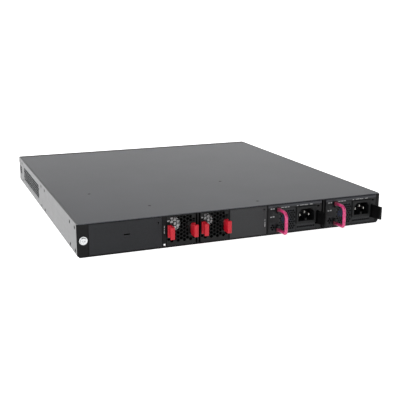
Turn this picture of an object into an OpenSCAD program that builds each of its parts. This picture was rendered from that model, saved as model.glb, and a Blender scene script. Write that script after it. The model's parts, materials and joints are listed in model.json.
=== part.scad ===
// One-unit rack switch: a sheet-metal chassis with two pull-out fan trays and two
// pull-out power supplies at the rear. Sizes are millimetres and +Z is up. X is the width
// and Y the depth: the ports face -Y, and the trays and supplies face +Y. The origin is
// the middle of the underside. Places along the rear are counted from the edge that
// carries the ground screw, which is the +X edge.

/* [Chassis] */
// Width over the side walls
chassis_w = 440; // [430:1:560]
// Depth from the port panel to the rear frame
chassis_d = 460; // [440:1:600]
// Height over the cover
chassis_h = 43.6; // [43.2:0.1:60]
// Thickness of the folded chassis sheet
sheet_t = 1.2; // [1:0.1:1.6]
// Thickness of the top cover
cover_t = 1.0; // [0.8:0.1:1.4]
// Bevel along the two lower long edges
edge_bevel = 3.0; // [2:0.1:4]
// Width of the side wall's folded top edge, seen beside the cover
lip_w = 2.2; // [1.8:0.1:3]
// Width of the ledge that carries the cover
ledge_w = 4.5; // [3.5:0.1:5]
// Depth of the port panel's folded top edge
bezel_lip_d = 9.0; // [5:0.5:14]
// Clearance between fixed sheet parts
sheet_gap = 0.3; // [0.2:0.05:0.5]

/* [Side wall holes and vents] */
// Diameter of the bracket screw holes
bracket_hole_d = 3.4; // [3:0.1:4.2]
// Hole spacing of each bracket pattern along the depth
bracket_pitch_y = 28.0; // [20:0.5:32]
// Hole spacing of each bracket pattern up the wall
bracket_pitch_z = 29.6; // [20:0.1:31]
// Height of the middle of each bracket pattern
bracket_z = 22.4; // [21:0.1:23]
// Middle of the front pattern, behind the port panel
bracket_front_y = 19.0; // [18:0.5:24]
// Middle of the centre pattern, ahead of the rear face
bracket_mid_y = 227.5; // [220:0.5:232]
// Middle of the rear pattern, ahead of the rear face
bracket_rear_y = 24.0; // [20:0.5:40]
// Length of the long side vent
side_vent_l = 148.0; // [120:1:150]
// Height of the long side vent
side_vent_h = 26.0; // [20:0.5:27]
// Front end of the long side vent, behind the port panel
side_vent_y = 50.0; // [45:1:52]
// Length of the short side vent
short_vent_l = 20.0; // [14:0.5:20]
// Height of the short side vent
short_vent_h = 15.0; // [10:0.5:18]
// Front end of the short side vent, behind the port panel
short_vent_y = 8.0; // [7:0.5:10]

/* [Rear frame] */
// Width of the ground-screw pillar
pillar_w = 14.6; // [13:0.1:20]
// Width of the module slot window
slot_w = 95.9; // [80:0.1:110]
// Width of the status strip between the module slot and the fans
strip_w = 5.4; // [5:0.1:8]
// Width of the thin posts each side of the middle cover
post_w = 1.4; // [1.3:0.1:2]
// Width of the frame beside the second power supply
right_post_w = 5.1; // [5:0.1:9]
// Height of the sill below the rear windows
sill_h = 1.4; // [1.3:0.05:1.6]
// Height of the strip above the rear windows
header_h = 0.6; // [0.4:0.05:0.8]
// Visible gap round the blank covers
blank_gap = 0.5; // [0.3:0.05:0.7]
// Length of the folded flanges of the blank covers
blank_flange_l = 10.0; // [6:0.5:12]
// Diameter of the ground screw's head
ground_head_d = 10.4; // [8:0.1:11]
// Diameter of the ground screw's shank
ground_shank_d = 4.0; // [3:0.1:5]
// Side of the square status light
status_light_w = 2.4; // [1.5:0.1:3]

// Distance of the ground screw from the pillar's outer edge
ground_x = 8.1; // [7:0.1:9]
// Height of the ground screw
ground_z = 22.0; // [18:0.1:26]
// Distance of the small slot in the module slot cover from the window's near edge
slot_mark_x = 45.0; // [30:0.5:60]
// Width of that slot
slot_mark_w = 8.0; // [4:0.5:12]
// Height of that slot
slot_mark_h = 1.6; // [1:0.1:3]
// Height of that slot's lower edge above the underside
slot_mark_z = 23.2; // [15:0.1:30]
// Diameter of the small holes in the blank covers
cover_hole_d = 2.2; // [1.6:0.1:3]
// Distance of the module slot cover's hole from the window's far edge
slot_hole_in = 5.1; // [4:0.1:12]
// Height of the module slot cover's hole
slot_hole_z = 34.5; // [10:0.1:36]
// Distance of the middle cover's hole from the window's far edge
middle_hole_in = 4.4; // [4:0.1:12]
// Height of the middle cover's hole
middle_hole_z = 37.2; // [10:0.1:37.6]

/* [Bays] */
// Gap between a module and the bay walls beside it
module_side_gap = 0.5; // [0.4:0.05:0.8]
// Gap between a module and the floor below it
module_floor_gap = 0.5; // [0.4:0.05:0.8]
// Gap between a module and the cover above it
module_top_gap = 0.9; // [0.8:0.05:1.5]
// Thickness of the double-sheet dividers
divider_t = 2.4; // [2:0.1:3]
// Depth of the module slot
slot_d = 148.0; // [100:1:170]
// Width of the screw flanges on the bay walls
flange_w = 8.0; // [6:0.5:8]
// Diameter of the cover screws' shanks
cover_screw_d = 2.4; // [2:0.1:3]
// Diameter of the cover screws' heads
cover_head_d = 4.4; // [3.6:0.1:5]
// Radial clearance of those heads in the cover
cover_head_gap = 0.05; // [0.02:0.01:0.1]

/* [Fan trays] */
// Width of a fan tray
fan_tray_w = 39.8; // [39:0.1:48]
// Depth of a fan tray
fan_tray_d = 90.0; // [80:1:110]
// Space between the two fan trays
fan_tray_space = 6.8; // [6:0.1:9]
// Thickness of the tray sheet
tray_t = 0.8; // [0.6:0.1:0.8]
// Thickness of the face sheet of trays and supplies
face_t = 1.2; // [1:0.1:1.6]
// Distance from one honeycomb cell to the next
cell_pitch = 5.0; // [4.8:0.1:5.4]
// Width of the web between honeycomb cells
cell_web = 0.7; // [0.6:0.05:1.2]
// Height of the solid band below the honeycomb
comb_low = 4.7; // [3:0.1:6]
// Side of the solid patches in the face's upper corners
comb_corner = 4.6; // [3:0.1:5]
// Depth of the fan itself
fan_d = 28.0; // [20:0.5:30]
// Distance of the tray fan behind the tray's face
fan_setback = 30.0; // [24:0.5:32]
// Diameter of the tray fan's hub
fan_hub_d = 20.6; // [14:0.1:22]
// Clearance between blade tips and the fan's bore
tip_gap = 0.5; // [0.4:0.05:0.8]

/* [Fan tray grips] */
// Distance of a grip's outer edge from the tray's middle
grip_outer_x = 19.0; // [18:0.1:19.7]
// Width of a grip
grip_w = 5.8; // [5.2:0.1:7.4]
// Height of a grip
grip_h = 16.5; // [12:0.1:18]
// Height of a grip's middle above the tray's underside
grip_z = 20.4; // [18:0.1:22]
// Distance that a grip stands out of the face
grip_proud = 13.5; // [10:0.1:15]
// Thickness of a grip's foot and stem
grip_t = 2.6; // [2.2:0.1:2.8]
// Thickness of a grip's outer flange
grip_flange_t = 3.2; // [2.6:0.1:3.4]
// Gap between a grip's foot and the face
grip_face_gap = 0.3; // [0.3:0.05:0.5]
// Distance of the grip's pivot behind the face
grip_pivot_y = 10.0; // [8:0.5:12]
// Diameter of the small pivot pins of grips, bails and latches
pivot_d = 2.4; // [2:0.1:2.6]
// Radial clearance round the small pivot pins and fan shafts
pivot_gap = 0.05; // [0.03:0.01:0.1]
// Largest pinch angle of a grip
grip_angle = 6; // [4:0.5:6]

/* [Power supplies] */
// Width of a supply
psu_w = 82.8; // [82:0.1:92]
// Depth of a supply
psu_d = 190.0; // [170:1:210]
// Space between the two supplies
psu_space = 7.1; // [6:0.1:9]
// Distance from one vent hole to the next
hole_pitch = 3.6; // [3.4:0.1:4]
// Width of a vent hole
hole_w = 2.7; // [2.2:0.1:2.9]
// Distance of the fan's middle from the inlet's socket
psu_fan_in = 18.55; // [18.3:0.05:18.8]
// Side of the supply's fan
psu_fan_w = 35.6; // [32:0.1:35.6]
// Diameter of the supply fan's hub
psu_hub_d = 20.0; // [16:0.1:21]
// Distance of the supply's fan behind its face
psu_fan_setback = 4.0; // [3:0.5:6]
// Height of the rib along the top of a supply's face
brow_h = 1.8; // [1.2:0.1:2]
// Distance that this rib stands out
brow_proud = 1.2; // [0.6:0.1:1.6]

/* [Mains inlets] */
// Width of the frame's border beside the socket
inlet_border = 3.15; // [2.4:0.05:3.4]
// Height of the inlet's frame
inlet_h = 24.0; // [23:0.1:24]
// Distance of the frame's edge from the latch's root
inlet_latch_gap = 3.0; // [2.6:0.1:3.2]
// Height of the frame's lower edge above the supply's underside
inlet_z = 10.3; // [10:0.1:11]
// Distance that the frame stands out of the face
inlet_proud = 1.8; // [1:0.1:3]
// Width of the socket
socket_w = 24.7; // [24.4:0.1:25]
// Height of the socket
socket_h = 17.1; // [16.6:0.1:17.4]
// Depth of the socket
socket_d = 21.0; // [18:0.5:22]
// Bevel of the socket's two upper corners
socket_bevel = 5.0; // [4:0.1:6]
// Wall of the socket
socket_wall = 1.4; // [1:0.1:1.5]
// Length of the inlet pins
pin_l = 15.5; // [14:0.1:16]
// Spacing of the two outer inlet pins
pin_pitch = 14.0; // [13:0.1:14.5]

/* [Bail handles] */
// Distance of the bail from the supply's edge
bail_x = 14.3; // [14:0.1:14.4]
// Diameter of the bail's rod
bail_rod_d = 4.5; // [4:0.1:5.2]
// Height of the upper leg's middle above the supply's underside
bail_top_z = 34.3; // [33:0.1:35]
// Height of the lower leg's middle above the supply's underside
bail_low_z = 5.8; // [5.4:0.1:7]
// Distance that the bail stands out of the face
bail_proud = 27.0; // [24:0.1:30]
// Distance of the bail's pivot in front of the face
bail_pivot_y = 3.6; // [3.5:0.1:4.5]
// Bend radius of the upper corner, at the rod's middle
bail_top_r = 8.0; // [6:0.1:9]
// Bend radius of the lower corner, at the rod's middle
bail_low_r = 4.0; // [3.5:0.1:6]
// Rise of the bail's hinge eyes above and below the rod
eye_rim = 0.2; // [0.1:0.05:0.25]
// Height of the lugs that carry the bail
lug_h = 3.2; // [2.6:0.1:4]
// Gap between a lug and the bail's eye
lug_gap = 0.3; // [0.3:0.05:0.5]

/* [Release latches] */
// Distance of the latch's root from the supply's bail side
latch_x = 76.8; // [76.4:0.1:77]
// Height of the latch's lower edge above the supply's underside
latch_z = 7.4; // [7:0.1:9]
// Height of the latch
latch_h = 18.6; // [14:0.1:19]
// Distance that the latch stands out of the face
latch_proud = 18.0; // [14:0.1:20]
// Sideways lean of the latch over that distance
latch_lean = 3.4; // [2:0.1:4]
// Thickness of the latch
latch_t = 2.2; // [1.8:0.1:2.4]
// Distance of the latch's pivot behind the face
latch_pivot_y = 22.0; // [18:0.5:26]
// Largest release angle of the latch
latch_angle = 4.5; // [3:0.5:4.5]

/* [Port side] */
// Clear width of a pluggable-module port
port_w = 14.0; // [13.8:0.1:14.4]
// Clear height of a pluggable-module port
port_h = 9.0; // [8.6:0.1:9.4]
// Length of a port cage
cage_l = 50.0; // [40:0.5:56]
// Wall of a port cage
cage_t = 0.7; // [0.5:0.05:0.8]
// Clear height between the two port rows
row_gap = 4.2; // [3.6:0.1:4.4]
// Ports side by side in one cage
cage_ports = 4; // [2:1:4]
// Space between two cages
cage_space = 3.0; // [2:0.5:6]
// Distance that the cages stand out of the port panel
cage_proud = 1.0; // [0.5:0.1:1.5]
// Outer width of a service jack
jack_w = 16.0; // [15:0.1:17]
// Outer height of a service jack
jack_h = 13.6; // [13:0.1:15]
// Clear width of a service jack
jack_bore_w = 11.8; // [11.6:0.1:12]
// Clear height of a service jack
jack_bore_h = 8.4; // [8:0.1:8.6]
// Depth of a service jack's hollow
jack_bore_d = 14.0; // [12:0.5:15]
// Clear width of the serial-bus socket
usb_bore_w = 12.6; // [12.5:0.1:12.8]
// Clear height of the serial-bus socket
usb_bore_h = 5.2; // [5:0.1:5.4]

/* [Inside] */
// Depth of the main circuit board
board_d = 212.0; // [180:1:216]
// Thickness of the circuit boards
board_t = 1.6; // [1.2:0.1:2]
// Height of the standoffs below the main board
standoff_h = 6.8; // [6:0.1:8]
// Side of the main heat sink
sink_w = 90.0; // [70:1:100]
// Height of the heat sinks
sink_h = 24.0; // [18:0.5:26]
// Distance from one heat-sink fin to the next
fin_pitch = 6.0; // [4:0.5:8]

/* [Hidden] */
$fn = 48;

// Overlap of cutting tools, and of solids that join
cut = 1;
weld = 0.01;

half_w = chassis_w / 2;
rear_y = chassis_d / 2;
front_y = -chassis_d / 2;
cover_z = chassis_h - cover_t;
wall_x = half_w - sheet_t;
inner_bevel = edge_bevel - sheet_t * (2 - sqrt(2));
window_top_z = cover_z - header_h;

module_z = sheet_t + module_floor_gap;
module_h = cover_z - module_top_gap - module_z;

// Places along the rear, counted from the ground-screw edge
fan_bay_l = pillar_w + slot_w + strip_w;
fan_bay_w = 2 * fan_tray_w + fan_tray_space + 2 * module_side_gap;
psu_bay_w = 2 * psu_w + psu_space + 2 * module_side_gap;
psu_bay_l = chassis_w - right_post_w - psu_bay_w;
middle_l = fan_bay_l + fan_bay_w + post_w;
middle_w = psu_bay_l - post_w - middle_l;
bay_end_gap = 8;
fan_bay_end_y = rear_y - fan_tray_d - bay_end_gap;
psu_bay_end_y = rear_y - psu_d - bay_end_gap;

cage_w = cage_ports * (port_w + cage_t) + cage_t;
cage_h = 2 * port_h + row_gap + 4 * cage_t;
board_z = sheet_t + standoff_h;
board_top_z = board_z + board_t;
board_front_y = front_y + bezel_lip_d;
board_back_y = board_front_y + board_d;

jack_x = 1.5 * cage_w + cage_space + 12;
jack_step = jack_w + 4;
usb_wall = 0.8;
usb_x = jack_x + 2 * jack_step;
usb_w = usb_bore_w + 2 * usb_wall;
usb_h = usb_bore_h + 2 * usb_wall;

// Middles and sizes of the side vents, and the spans of the port panel's vents
vent_z = chassis_h / 2 + 1.5;
side_vents = [
    [front_y + side_vent_y + side_vent_l / 2, side_vent_l, side_vent_h],
    [front_y + short_vent_y + short_vent_l / 2, short_vent_l, short_vent_h]
];
front_vents = [[-half_w + 10, -1.5 * cage_w - cage_space - 10], [usb_x + 14, half_w - 10]];
front_vent_z0 = 8;
front_vent_z1 = 36;
cell_hole = cell_pitch - cell_web;
screen_t = 0.8;
screen_gap = 0.05;

function from_left(l) = half_w - l;
function fan_x(i) =
    from_left(fan_bay_l + module_side_gap + fan_tray_w / 2 + (i - 1) * (fan_tray_w + fan_tray_space));
function psu_x(i) = from_left(psu_bay_l + module_side_gap + (i - 1) * (psu_w + psu_space));
function cage_x(i) = (i - 2) * (cage_w + cage_space);
function jack_mid(j) = jack_x + j * jack_step;

// ---- shared shapes ----

// A plain box between two corners
module box(low, high) translate(low) cube(high - low);

// A flat outline in X and Z, carried along Y from y0 to y1
module along_depth(y0, y1) translate([0, y1, 0]) rotate([90, 0, 0]) linear_extrude(y1 - y0) children();

// A round bar along Y that starts at y0 and ends at y1
module rod_y(x, z, y0, y1, d) translate([x, y1, z]) rotate([90, 0, 0]) cylinder(h = y1 - y0, d = d);

// The chassis section with its two lower bevels
module chassis_outline(top) polygon([
    [-half_w + edge_bevel, 0], [half_w - edge_bevel, 0], [half_w, edge_bevel],
    [half_w, top], [-half_w, top], [-half_w, edge_bevel]
]);

// The hollow of that section, up to the folded top edges
module chassis_hollow() polygon([
    [-wall_x + inner_bevel, sheet_t], [wall_x - inner_bevel, sheet_t],
    [wall_x, sheet_t + inner_bevel], [wall_x, cover_z - sheet_t], [-wall_x, cover_z - sheet_t],
    [-wall_x, sheet_t + inner_bevel]
]);

// Hexagons with flat tops, staggered column by column inside a window
module cell_field(w, h, pitch, hole) {
    step_x = pitch * sqrt(3) / 2;
    columns = floor((w / 2 - hole / sqrt(3)) / step_x);
    for (c = [-columns:columns]) {
        shift = c % 2 == 0 ? pitch / 2 : 0;
        rows = floor((h / 2 - hole / 2 - shift) / pitch);
        for (r = [-rows - (shift > 0 ? 1 : 0):rows])
            translate([c * step_x, r * pitch + shift]) circle(d = hole * 2 / sqrt(3), $fn = 6);
    }
}

// A thin sheet that fills a window, punched in rows with hexagons standing on a corner
module punched_sheet(w, h, pitch, hole) linear_extrude(screen_t, center = true) difference() {
    square([w - 2 * screen_gap, h - 2 * screen_gap], center = true);
    rotate(90) cell_field(h, w, pitch, hole);
}

// ---- chassis ----

module bracket_holes()
    for (y = [front_y + bracket_front_y, rear_y - bracket_mid_y, rear_y - bracket_rear_y],
         dy = [-0.5, 0.5], dz = [-0.5, 0.5])
        translate([0, y + dy * bracket_pitch_y, bracket_z + dz * bracket_pitch_z])
            rotate([0, 90, 0]) cylinder(h = chassis_w + 2 * cut, d = bracket_hole_d, center = true);

module side_windows() for (v = side_vents) translate([0, v[0], vent_z])
    cube([chassis_w + 2 * cut, v[1], v[2]], center = true);

module base_tray() color("silver") difference() {
    along_depth(front_y + sheet_t, rear_y - sheet_t) difference() {
        chassis_outline(chassis_h);
        chassis_hollow();
        translate([-half_w + ledge_w, cover_z - 2 * sheet_t])
            square([chassis_w - 2 * ledge_w, 2 * sheet_t + cover_t + cut]);
        translate([-half_w + lip_w, cover_z]) square([chassis_w - 2 * lip_w, cover_t + cut]);
    }
    bracket_holes();
    side_windows();
}

cover_screws_at = [
    [from_left(fan_bay_l - sheet_t - flange_w / 2), rear_y - 52],
    [from_left(psu_bay_l - sheet_t - flange_w / 2), rear_y - 22],
    [from_left(51), rear_y - slot_d + flange_w / 2],
    [from_left(psu_bay_l - sheet_t - flange_w / 2), rear_y - 150]
];

// The holes for the cover screws in the flanges below the cover
module cover_screw_bores() for (p = cover_screws_at) translate([p[0], p[1], cover_z])
    cylinder(h = 4 * sheet_t, d = cover_screw_d, center = true);

module top_cover() color("dimgray") difference() {
    box([-half_w + lip_w + sheet_gap, front_y + bezel_lip_d + sheet_gap, cover_z],
        [half_w - lip_w - sheet_gap, rear_y, chassis_h]);
    for (p = cover_screws_at) translate([p[0], p[1], cover_z - weld])
        cylinder(h = cover_t + 2 * weld, d1 = cover_screw_d + 2 * cover_head_gap,
                 d2 = cover_head_d + 2 * cover_head_gap);
}

module cover_screws() color("dimgray") for (p = cover_screws_at) translate([p[0], p[1], cover_z]) {
    difference() {
        cylinder(h = cover_t, d1 = cover_screw_d, d2 = cover_head_d);
        for (a = [0, 90]) rotate(a) translate([0, 0, cover_t])
            cube([cover_head_d * 0.6, 0.7, 1], center = true);
    }
    translate([0, 0, -sheet_t]) cylinder(h = sheet_t + weld, d = cover_screw_d);
}

washer_t = 0.9;
ground_head_t = 2.1;
ground_shank_l = 8;

// A washer, a tapered head with a cross recess, and the shank behind it
module ground_screw() color("gainsboro")
    translate([from_left(ground_x), rear_y, ground_z]) rotate([-90, 0, 0]) {
        difference() {
            union() {
                cylinder(h = washer_t, d = ground_head_d);
                translate([0, 0, washer_t])
                    cylinder(h = ground_head_t, d1 = ground_head_d * 0.82, d2 = ground_head_d * 0.7);
            }
            for (a = [0, 90]) rotate(a) translate([0, 0, washer_t + ground_head_t])
                cube([5, 1.1, 2.4], center = true);
        }
        translate([0, 0, -ground_shank_l]) cylinder(h = ground_shank_l, d = ground_shank_d);
    }

// One window of the rear frame, from distance l along the rear and w wide
module rear_window(l, w)
    box([from_left(l + w), rear_y - sheet_t - cut, sill_h], [from_left(l), rear_y + cut, window_top_z]);

status_x = from_left(fan_bay_l - strip_w / 2);
status_z = sill_h + 3;
status_proud = 0.3;

module rear_frame() color("#2e2f31") difference() {
    along_depth(rear_y - sheet_t, rear_y) chassis_outline(cover_z);
    rear_window(pillar_w, slot_w);
    rear_window(fan_bay_l, fan_bay_w);
    rear_window(middle_l, middle_w);
    rear_window(psu_bay_l, psu_bay_w);
    rod_y(from_left(ground_x), ground_z, rear_y - sheet_t - cut, rear_y + cut, ground_shank_d);
    translate([status_x, rear_y, status_z])
        cube([status_light_w, 2 * sheet_t + cut, status_light_w], center = true);
}

module status_light() color("white")
    translate([status_x - status_light_w / 2, rear_y - sheet_t, status_z - status_light_w / 2])
        cube([status_light_w, sheet_t + status_proud, status_light_w]);

// A blank cover: a flush plate with a flange folded inwards at each end
module blank_cover(l, w) {
    x0 = from_left(l + w) + blank_gap;
    x1 = from_left(l) - blank_gap;
    z0 = sill_h + blank_gap;
    z1 = window_top_z - blank_gap;
    box([x0, rear_y - sheet_t, z0], [x1, rear_y, z1]);
    for (x = [x0, x1 - sheet_t])
        box([x, rear_y - sheet_t - blank_flange_l, z0], [x + sheet_t, rear_y - sheet_t + weld, z1]);
}

// A small round hole through a blank cover
module cover_hole(l, z) rod_y(from_left(l), z, rear_y - 2 * sheet_t, rear_y + cut, cover_hole_d);

module module_slot_cover() color("#333436") difference() {
    blank_cover(pillar_w, slot_w);
    box([from_left(pillar_w + slot_mark_x + slot_mark_w), rear_y - 2 * sheet_t, slot_mark_z],
        [from_left(pillar_w + slot_mark_x), rear_y + cut, slot_mark_z + slot_mark_h]);
    cover_hole(pillar_w + slot_w - slot_hole_in, slot_hole_z);
}

module middle_cover() color("#3c3d3f") difference() {
    blank_cover(middle_l, middle_w);
    cover_hole(middle_l + middle_w - middle_hole_in, middle_hole_z);
}

// ---- bay walls ----

// A wall along Y beside a bay, up to top
module bay_wall(l, y0, top) {
    x0 = from_left(l + sheet_t);
    box([x0, y0, sheet_t], [x0 + sheet_t, rear_y - sheet_t, top]);
}

// The screw flange of a bay wall, folded from its +X side or its -X side
module bay_flange(l, y0, side) {
    x0 = from_left(l + sheet_t);
    flange_x = side > 0 ? x0 + sheet_t - weld : x0 - flange_w + weld;
    difference() {
        box([flange_x, y0, cover_z - sheet_t],
            [flange_x + flange_w, rear_y - sheet_t - blank_flange_l - 2, cover_z]);
        cover_screw_bores();
    }
}

module fan_bay_walls() color("darkgray") for (w = [[fan_bay_l - sheet_t, 1], [fan_bay_l + fan_bay_w, -1]]) {
    bay_wall(w[0], fan_bay_end_y, cover_z);
    bay_flange(w[0], fan_bay_end_y, w[1]);
}

module psu_bay_walls() color("darkgray") {
    bay_wall(psu_bay_l - sheet_t, psu_bay_end_y, cover_z);
    bay_flange(psu_bay_l - sheet_t, psu_bay_end_y, 1);
    bay_wall(psu_bay_l + psu_bay_w, psu_bay_end_y, cover_z - sheet_t);
}

// A double sheet between two modules, whose edge shows in the rear window
module divider(x, y0) {
    box([x - divider_t / 2, y0, sheet_t], [x + divider_t / 2, rear_y - sheet_t, cover_z]);
    box([x - divider_t / 2, rear_y - sheet_t - weld, sill_h], [x + divider_t / 2, rear_y, window_top_z]);
}

module fan_bay_divider() color("#232426") divider((fan_x(1) + fan_x(2)) / 2, fan_bay_end_y);
module psu_bay_divider() color("#232426") divider((psu_x(1) - psu_w + psu_x(2)) / 2, psu_bay_end_y);

slot_socket = [50, 9, 8];
slot_socket_z = 14;

// The wall across the inner end of the module slot, with its socket
module module_bay_wall() color("darkgray") {
    x0 = from_left(fan_bay_l - sheet_t - flange_w - 1);
    x1 = half_w - ledge_w - sheet_gap;
    y1 = rear_y - slot_d;
    box([x0, y1 - sheet_t, sheet_t], [x1, y1, cover_z]);
    difference() {
        box([x0, y1 - weld, cover_z - sheet_t], [x1, y1 + flange_w, cover_z]);
        cover_screw_bores();
    }
    translate([(x0 + x1 - slot_socket[0]) / 2, y1 - weld, slot_socket_z])
        cube(slot_socket + [0, weld, 0]);
}

// ---- port side ----

// A window of the port panel round a socket that stands on the main board
module board_window(x, w, h)
    box([x - w / 2 - sheet_gap, front_y - cut, board_top_z - sheet_gap],
        [x + w / 2 + sheet_gap, front_y + sheet_t + cut, board_top_z + h + sheet_gap]);

module front_panel() color("#2e2f31") difference() {
    union() {
        along_depth(front_y, front_y + sheet_t) chassis_outline(chassis_h);
        box([-half_w + lip_w + sheet_gap, front_y, cover_z],
            [half_w - lip_w - sheet_gap, front_y + bezel_lip_d, chassis_h]);
    }
    for (i = [1:3]) board_window(cage_x(i), cage_w, cage_h);
    for (j = [0, 1]) board_window(jack_mid(j), jack_w, jack_h);
    board_window(usb_x, usb_w, usb_h);
    for (v = front_vents)
        box([v[0], front_y - cut, front_vent_z0], [v[1], front_y + sheet_t + cut, front_vent_z1]);
}

module at_cage(i) translate([cage_x(i) - cage_w / 2, front_y - cage_proud, board_top_z]) children();

// Two rows of ports between thin plates: plates and partitions are separate folded sheets
module port_cage(i) color("lightgray") at_cage(i) {
    joint = 0.05;
    for (z = [cage_t, 3 * cage_t + port_h + row_gap]) {
        for (plate_z = [z - cage_t, z + port_h]) translate([0, 0, plate_z]) cube([cage_w, cage_l, cage_t]);
        for (p = [0:cage_ports]) translate([p * (port_w + cage_t), 0, z + joint])
            cube([cage_t, cage_l, port_h - 2 * joint]);
        translate([cage_t + joint, cage_l - cage_t, z + joint])
            for (p = [0:cage_ports - 1]) translate([p * (port_w + cage_t), 0, 0])
                cube([port_w - 2 * joint, cage_t, port_h - 2 * joint]);
    }
}

pipe_w = 2.2;
pipe_pitch = 6.8;
pipe_gap = 0.05;

// Two clear bars above each lower port, one for each row's light
module port_light_pipes() color("whitesmoke")
    for (i = [1:3], p = [0:cage_ports - 1], s = [-0.5, 0.5])
        at_cage(i) translate([cage_t + port_w / 2 + p * (port_w + cage_t) + s * pipe_pitch - pipe_w / 2, 0,
                              2 * cage_t + port_h + pipe_gap])
            cube([pipe_w, cage_l - 6, row_gap - 2 * pipe_gap]);

jack_d = 18;
socket_proud = 0.4;
jack_floor = 2.6;
jack_key = [6, 2];
jack_key_z = 1.2;

// A moulded jack with its keyed mouth
module jack(x) translate([x, front_y - socket_proud, board_top_z]) difference() {
    translate([-jack_w / 2, 0, 0]) cube([jack_w, jack_d, jack_h]);
    translate([-jack_bore_w / 2, -cut, jack_floor]) cube([jack_bore_w, jack_bore_d + cut, jack_bore_h]);
    translate([-jack_key[0] / 2, -cut, jack_key_z]) cube([jack_key[0], jack_bore_d + cut, jack_key[1]]);
}

module service_jacks() color("#26272a") for (j = [0, 1]) jack(jack_mid(j));

usb_d = 14;
usb_bore_d = 12;
usb_tongue = [10.5, 9.6, 0.75];
usb_tongue_y = 2.5;

// A folded shell with the tongue that carries its contacts
module usb_socket() color("silver") translate([usb_x, front_y - socket_proud, board_top_z]) {
    difference() {
        translate([-usb_w / 2, 0, 0]) cube([usb_w, usb_d, usb_h]);
        translate([-usb_bore_w / 2, -cut, usb_wall]) cube([usb_bore_w, usb_bore_d + cut, usb_bore_h]);
    }
    translate([-usb_tongue[0] / 2, usb_tongue_y, usb_wall + usb_bore_h - usb_tongue[2]]) cube(usb_tongue);
}

side_screen_x = half_w - sheet_t / 2 - 0.1;
front_screen_y = front_y + 0.7;

// Punched screens that fill the side windows and the port panel's vents
module vent_screens() color("dimgray") {
    for (s = [-1, 1], v = side_vents) translate([s * side_screen_x, v[0], vent_z])
        rotate([90, 0, 90]) punched_sheet(v[1], v[2], cell_pitch, cell_hole);
    for (v = front_vents)
        translate([(v[0] + v[1]) / 2, front_screen_y, (front_vent_z0 + front_vent_z1) / 2])
            rotate([90, 0, 0])
                punched_sheet(v[1] - v[0], front_vent_z1 - front_vent_z0, cell_pitch, cell_hole);
}

// ---- inside ----

board_half_w = half_w - 8;
board_hole_d = 3.2;
standoff_d = 6;
board_screw_d = 3;
board_head_d = 5.4;
board_head_h = 1.8;
standoffs_at = [
    for (x = [-1, 0, 1], y = [cage_l, board_d - 12]) [x * (board_half_w - 10), board_front_y + y]
];
chip_w = 45;
chip_h = 3.4;
main_chip_at = [0, board_front_y + 135];
small_chip_at = [-120, board_front_y + 140];
memory_chip = [12, 28, 2];
memory_y = board_front_y + 150;

// A square chip on the main board, with its middle at a place
module board_chip(at, w) translate([at[0], at[1], board_top_z + chip_h / 2 - weld])
    cube([w, w, chip_h], center = true);

module main_board() color("darkgreen") {
    difference() {
        box([-board_half_w, board_front_y, board_z], [board_half_w, board_back_y, board_top_z]);
        for (p = standoffs_at) translate([p[0], p[1], board_z - cut])
            cylinder(h = board_t + 2 * cut, d = board_hole_d);
    }
    board_chip(main_chip_at, chip_w);
    board_chip(small_chip_at, chip_w * 0.6);
    for (x = [60:18:150]) translate([x, memory_y, board_top_z - weld]) cube(memory_chip);
}

module board_standoffs() color("goldenrod") for (p = standoffs_at) translate([p[0], p[1], sheet_t]) {
    cylinder(h = standoff_h, d = standoff_d);
    translate([0, 0, standoff_h - weld]) cylinder(h = board_t + 2 * weld, d = board_screw_d);
    translate([0, 0, standoff_h + board_t]) cylinder(h = board_head_h, d = board_head_d);
}

sink_base_t = 4;
fin_t = 1.2;

// A finned heat sink, w square, on a chip
module heat_sink(at, w) translate([at[0] - w / 2, at[1] - w / 2, board_top_z + chip_h - weld]) {
    cube([w, w, sink_base_t]);
    for (f = [0:floor((w - fin_t) / fin_pitch)])
        translate([f * fin_pitch, 0, sink_base_t - weld]) cube([fin_t, w, sink_h - sink_base_t]);
}

module heat_sinks() color("silver") {
    heat_sink(main_chip_at, sink_w);
    heat_sink(small_chip_at, 44);
}

backplane_y = psu_bay_end_y - 4;
backplane_top = 38;
edge_z = module_z + 16;
edge_w = 56;
edge_wall = 4;
edge_gap = 0.4;
edge_side_gap = 0.5;
edge_socket_d = 8;
bus_half_w = 5;
bus_t = 3;

// The board across the inner end of the supplies, with a socket for each and two bus bars
module power_backplane() color("darkgreen") {
    x0 = psu_x(2) - psu_w + 2;
    x1 = psu_x(1) - 2;
    box([x0, backplane_y - board_t, sheet_t], [x1, backplane_y, backplane_top]);
    for (i = [1, 2]) {
        mid = psu_x(i) - psu_w / 2;
        difference() {
            box([mid - edge_w / 2 - edge_wall, backplane_y - weld, edge_z - edge_wall],
                [mid + edge_w / 2 + edge_wall, backplane_y + edge_socket_d, edge_z + board_t + edge_wall]);
            box([mid - edge_w / 2 - edge_side_gap, backplane_y + 1, edge_z - edge_gap],
                [mid + edge_w / 2 + edge_side_gap, backplane_y + edge_socket_d + cut,
                 edge_z + board_t + edge_gap]);
        }
    }
    for (x = [x0 + 20, x1 - 20])
        box([x - bus_half_w, board_back_y - 14, board_top_z],
            [x + bus_half_w, backplane_y - board_t + weld, board_top_z + bus_t]);
}

plug_w = 14;
plug_h = 7;
plug_l = 9;
plug_z = 4;
plug_gap = 0.4;
plug_wall = 2;
plug_socket_d = 7;
fan_board_y = fan_bay_end_y - 2;
fan_board_top = 24;

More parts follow.
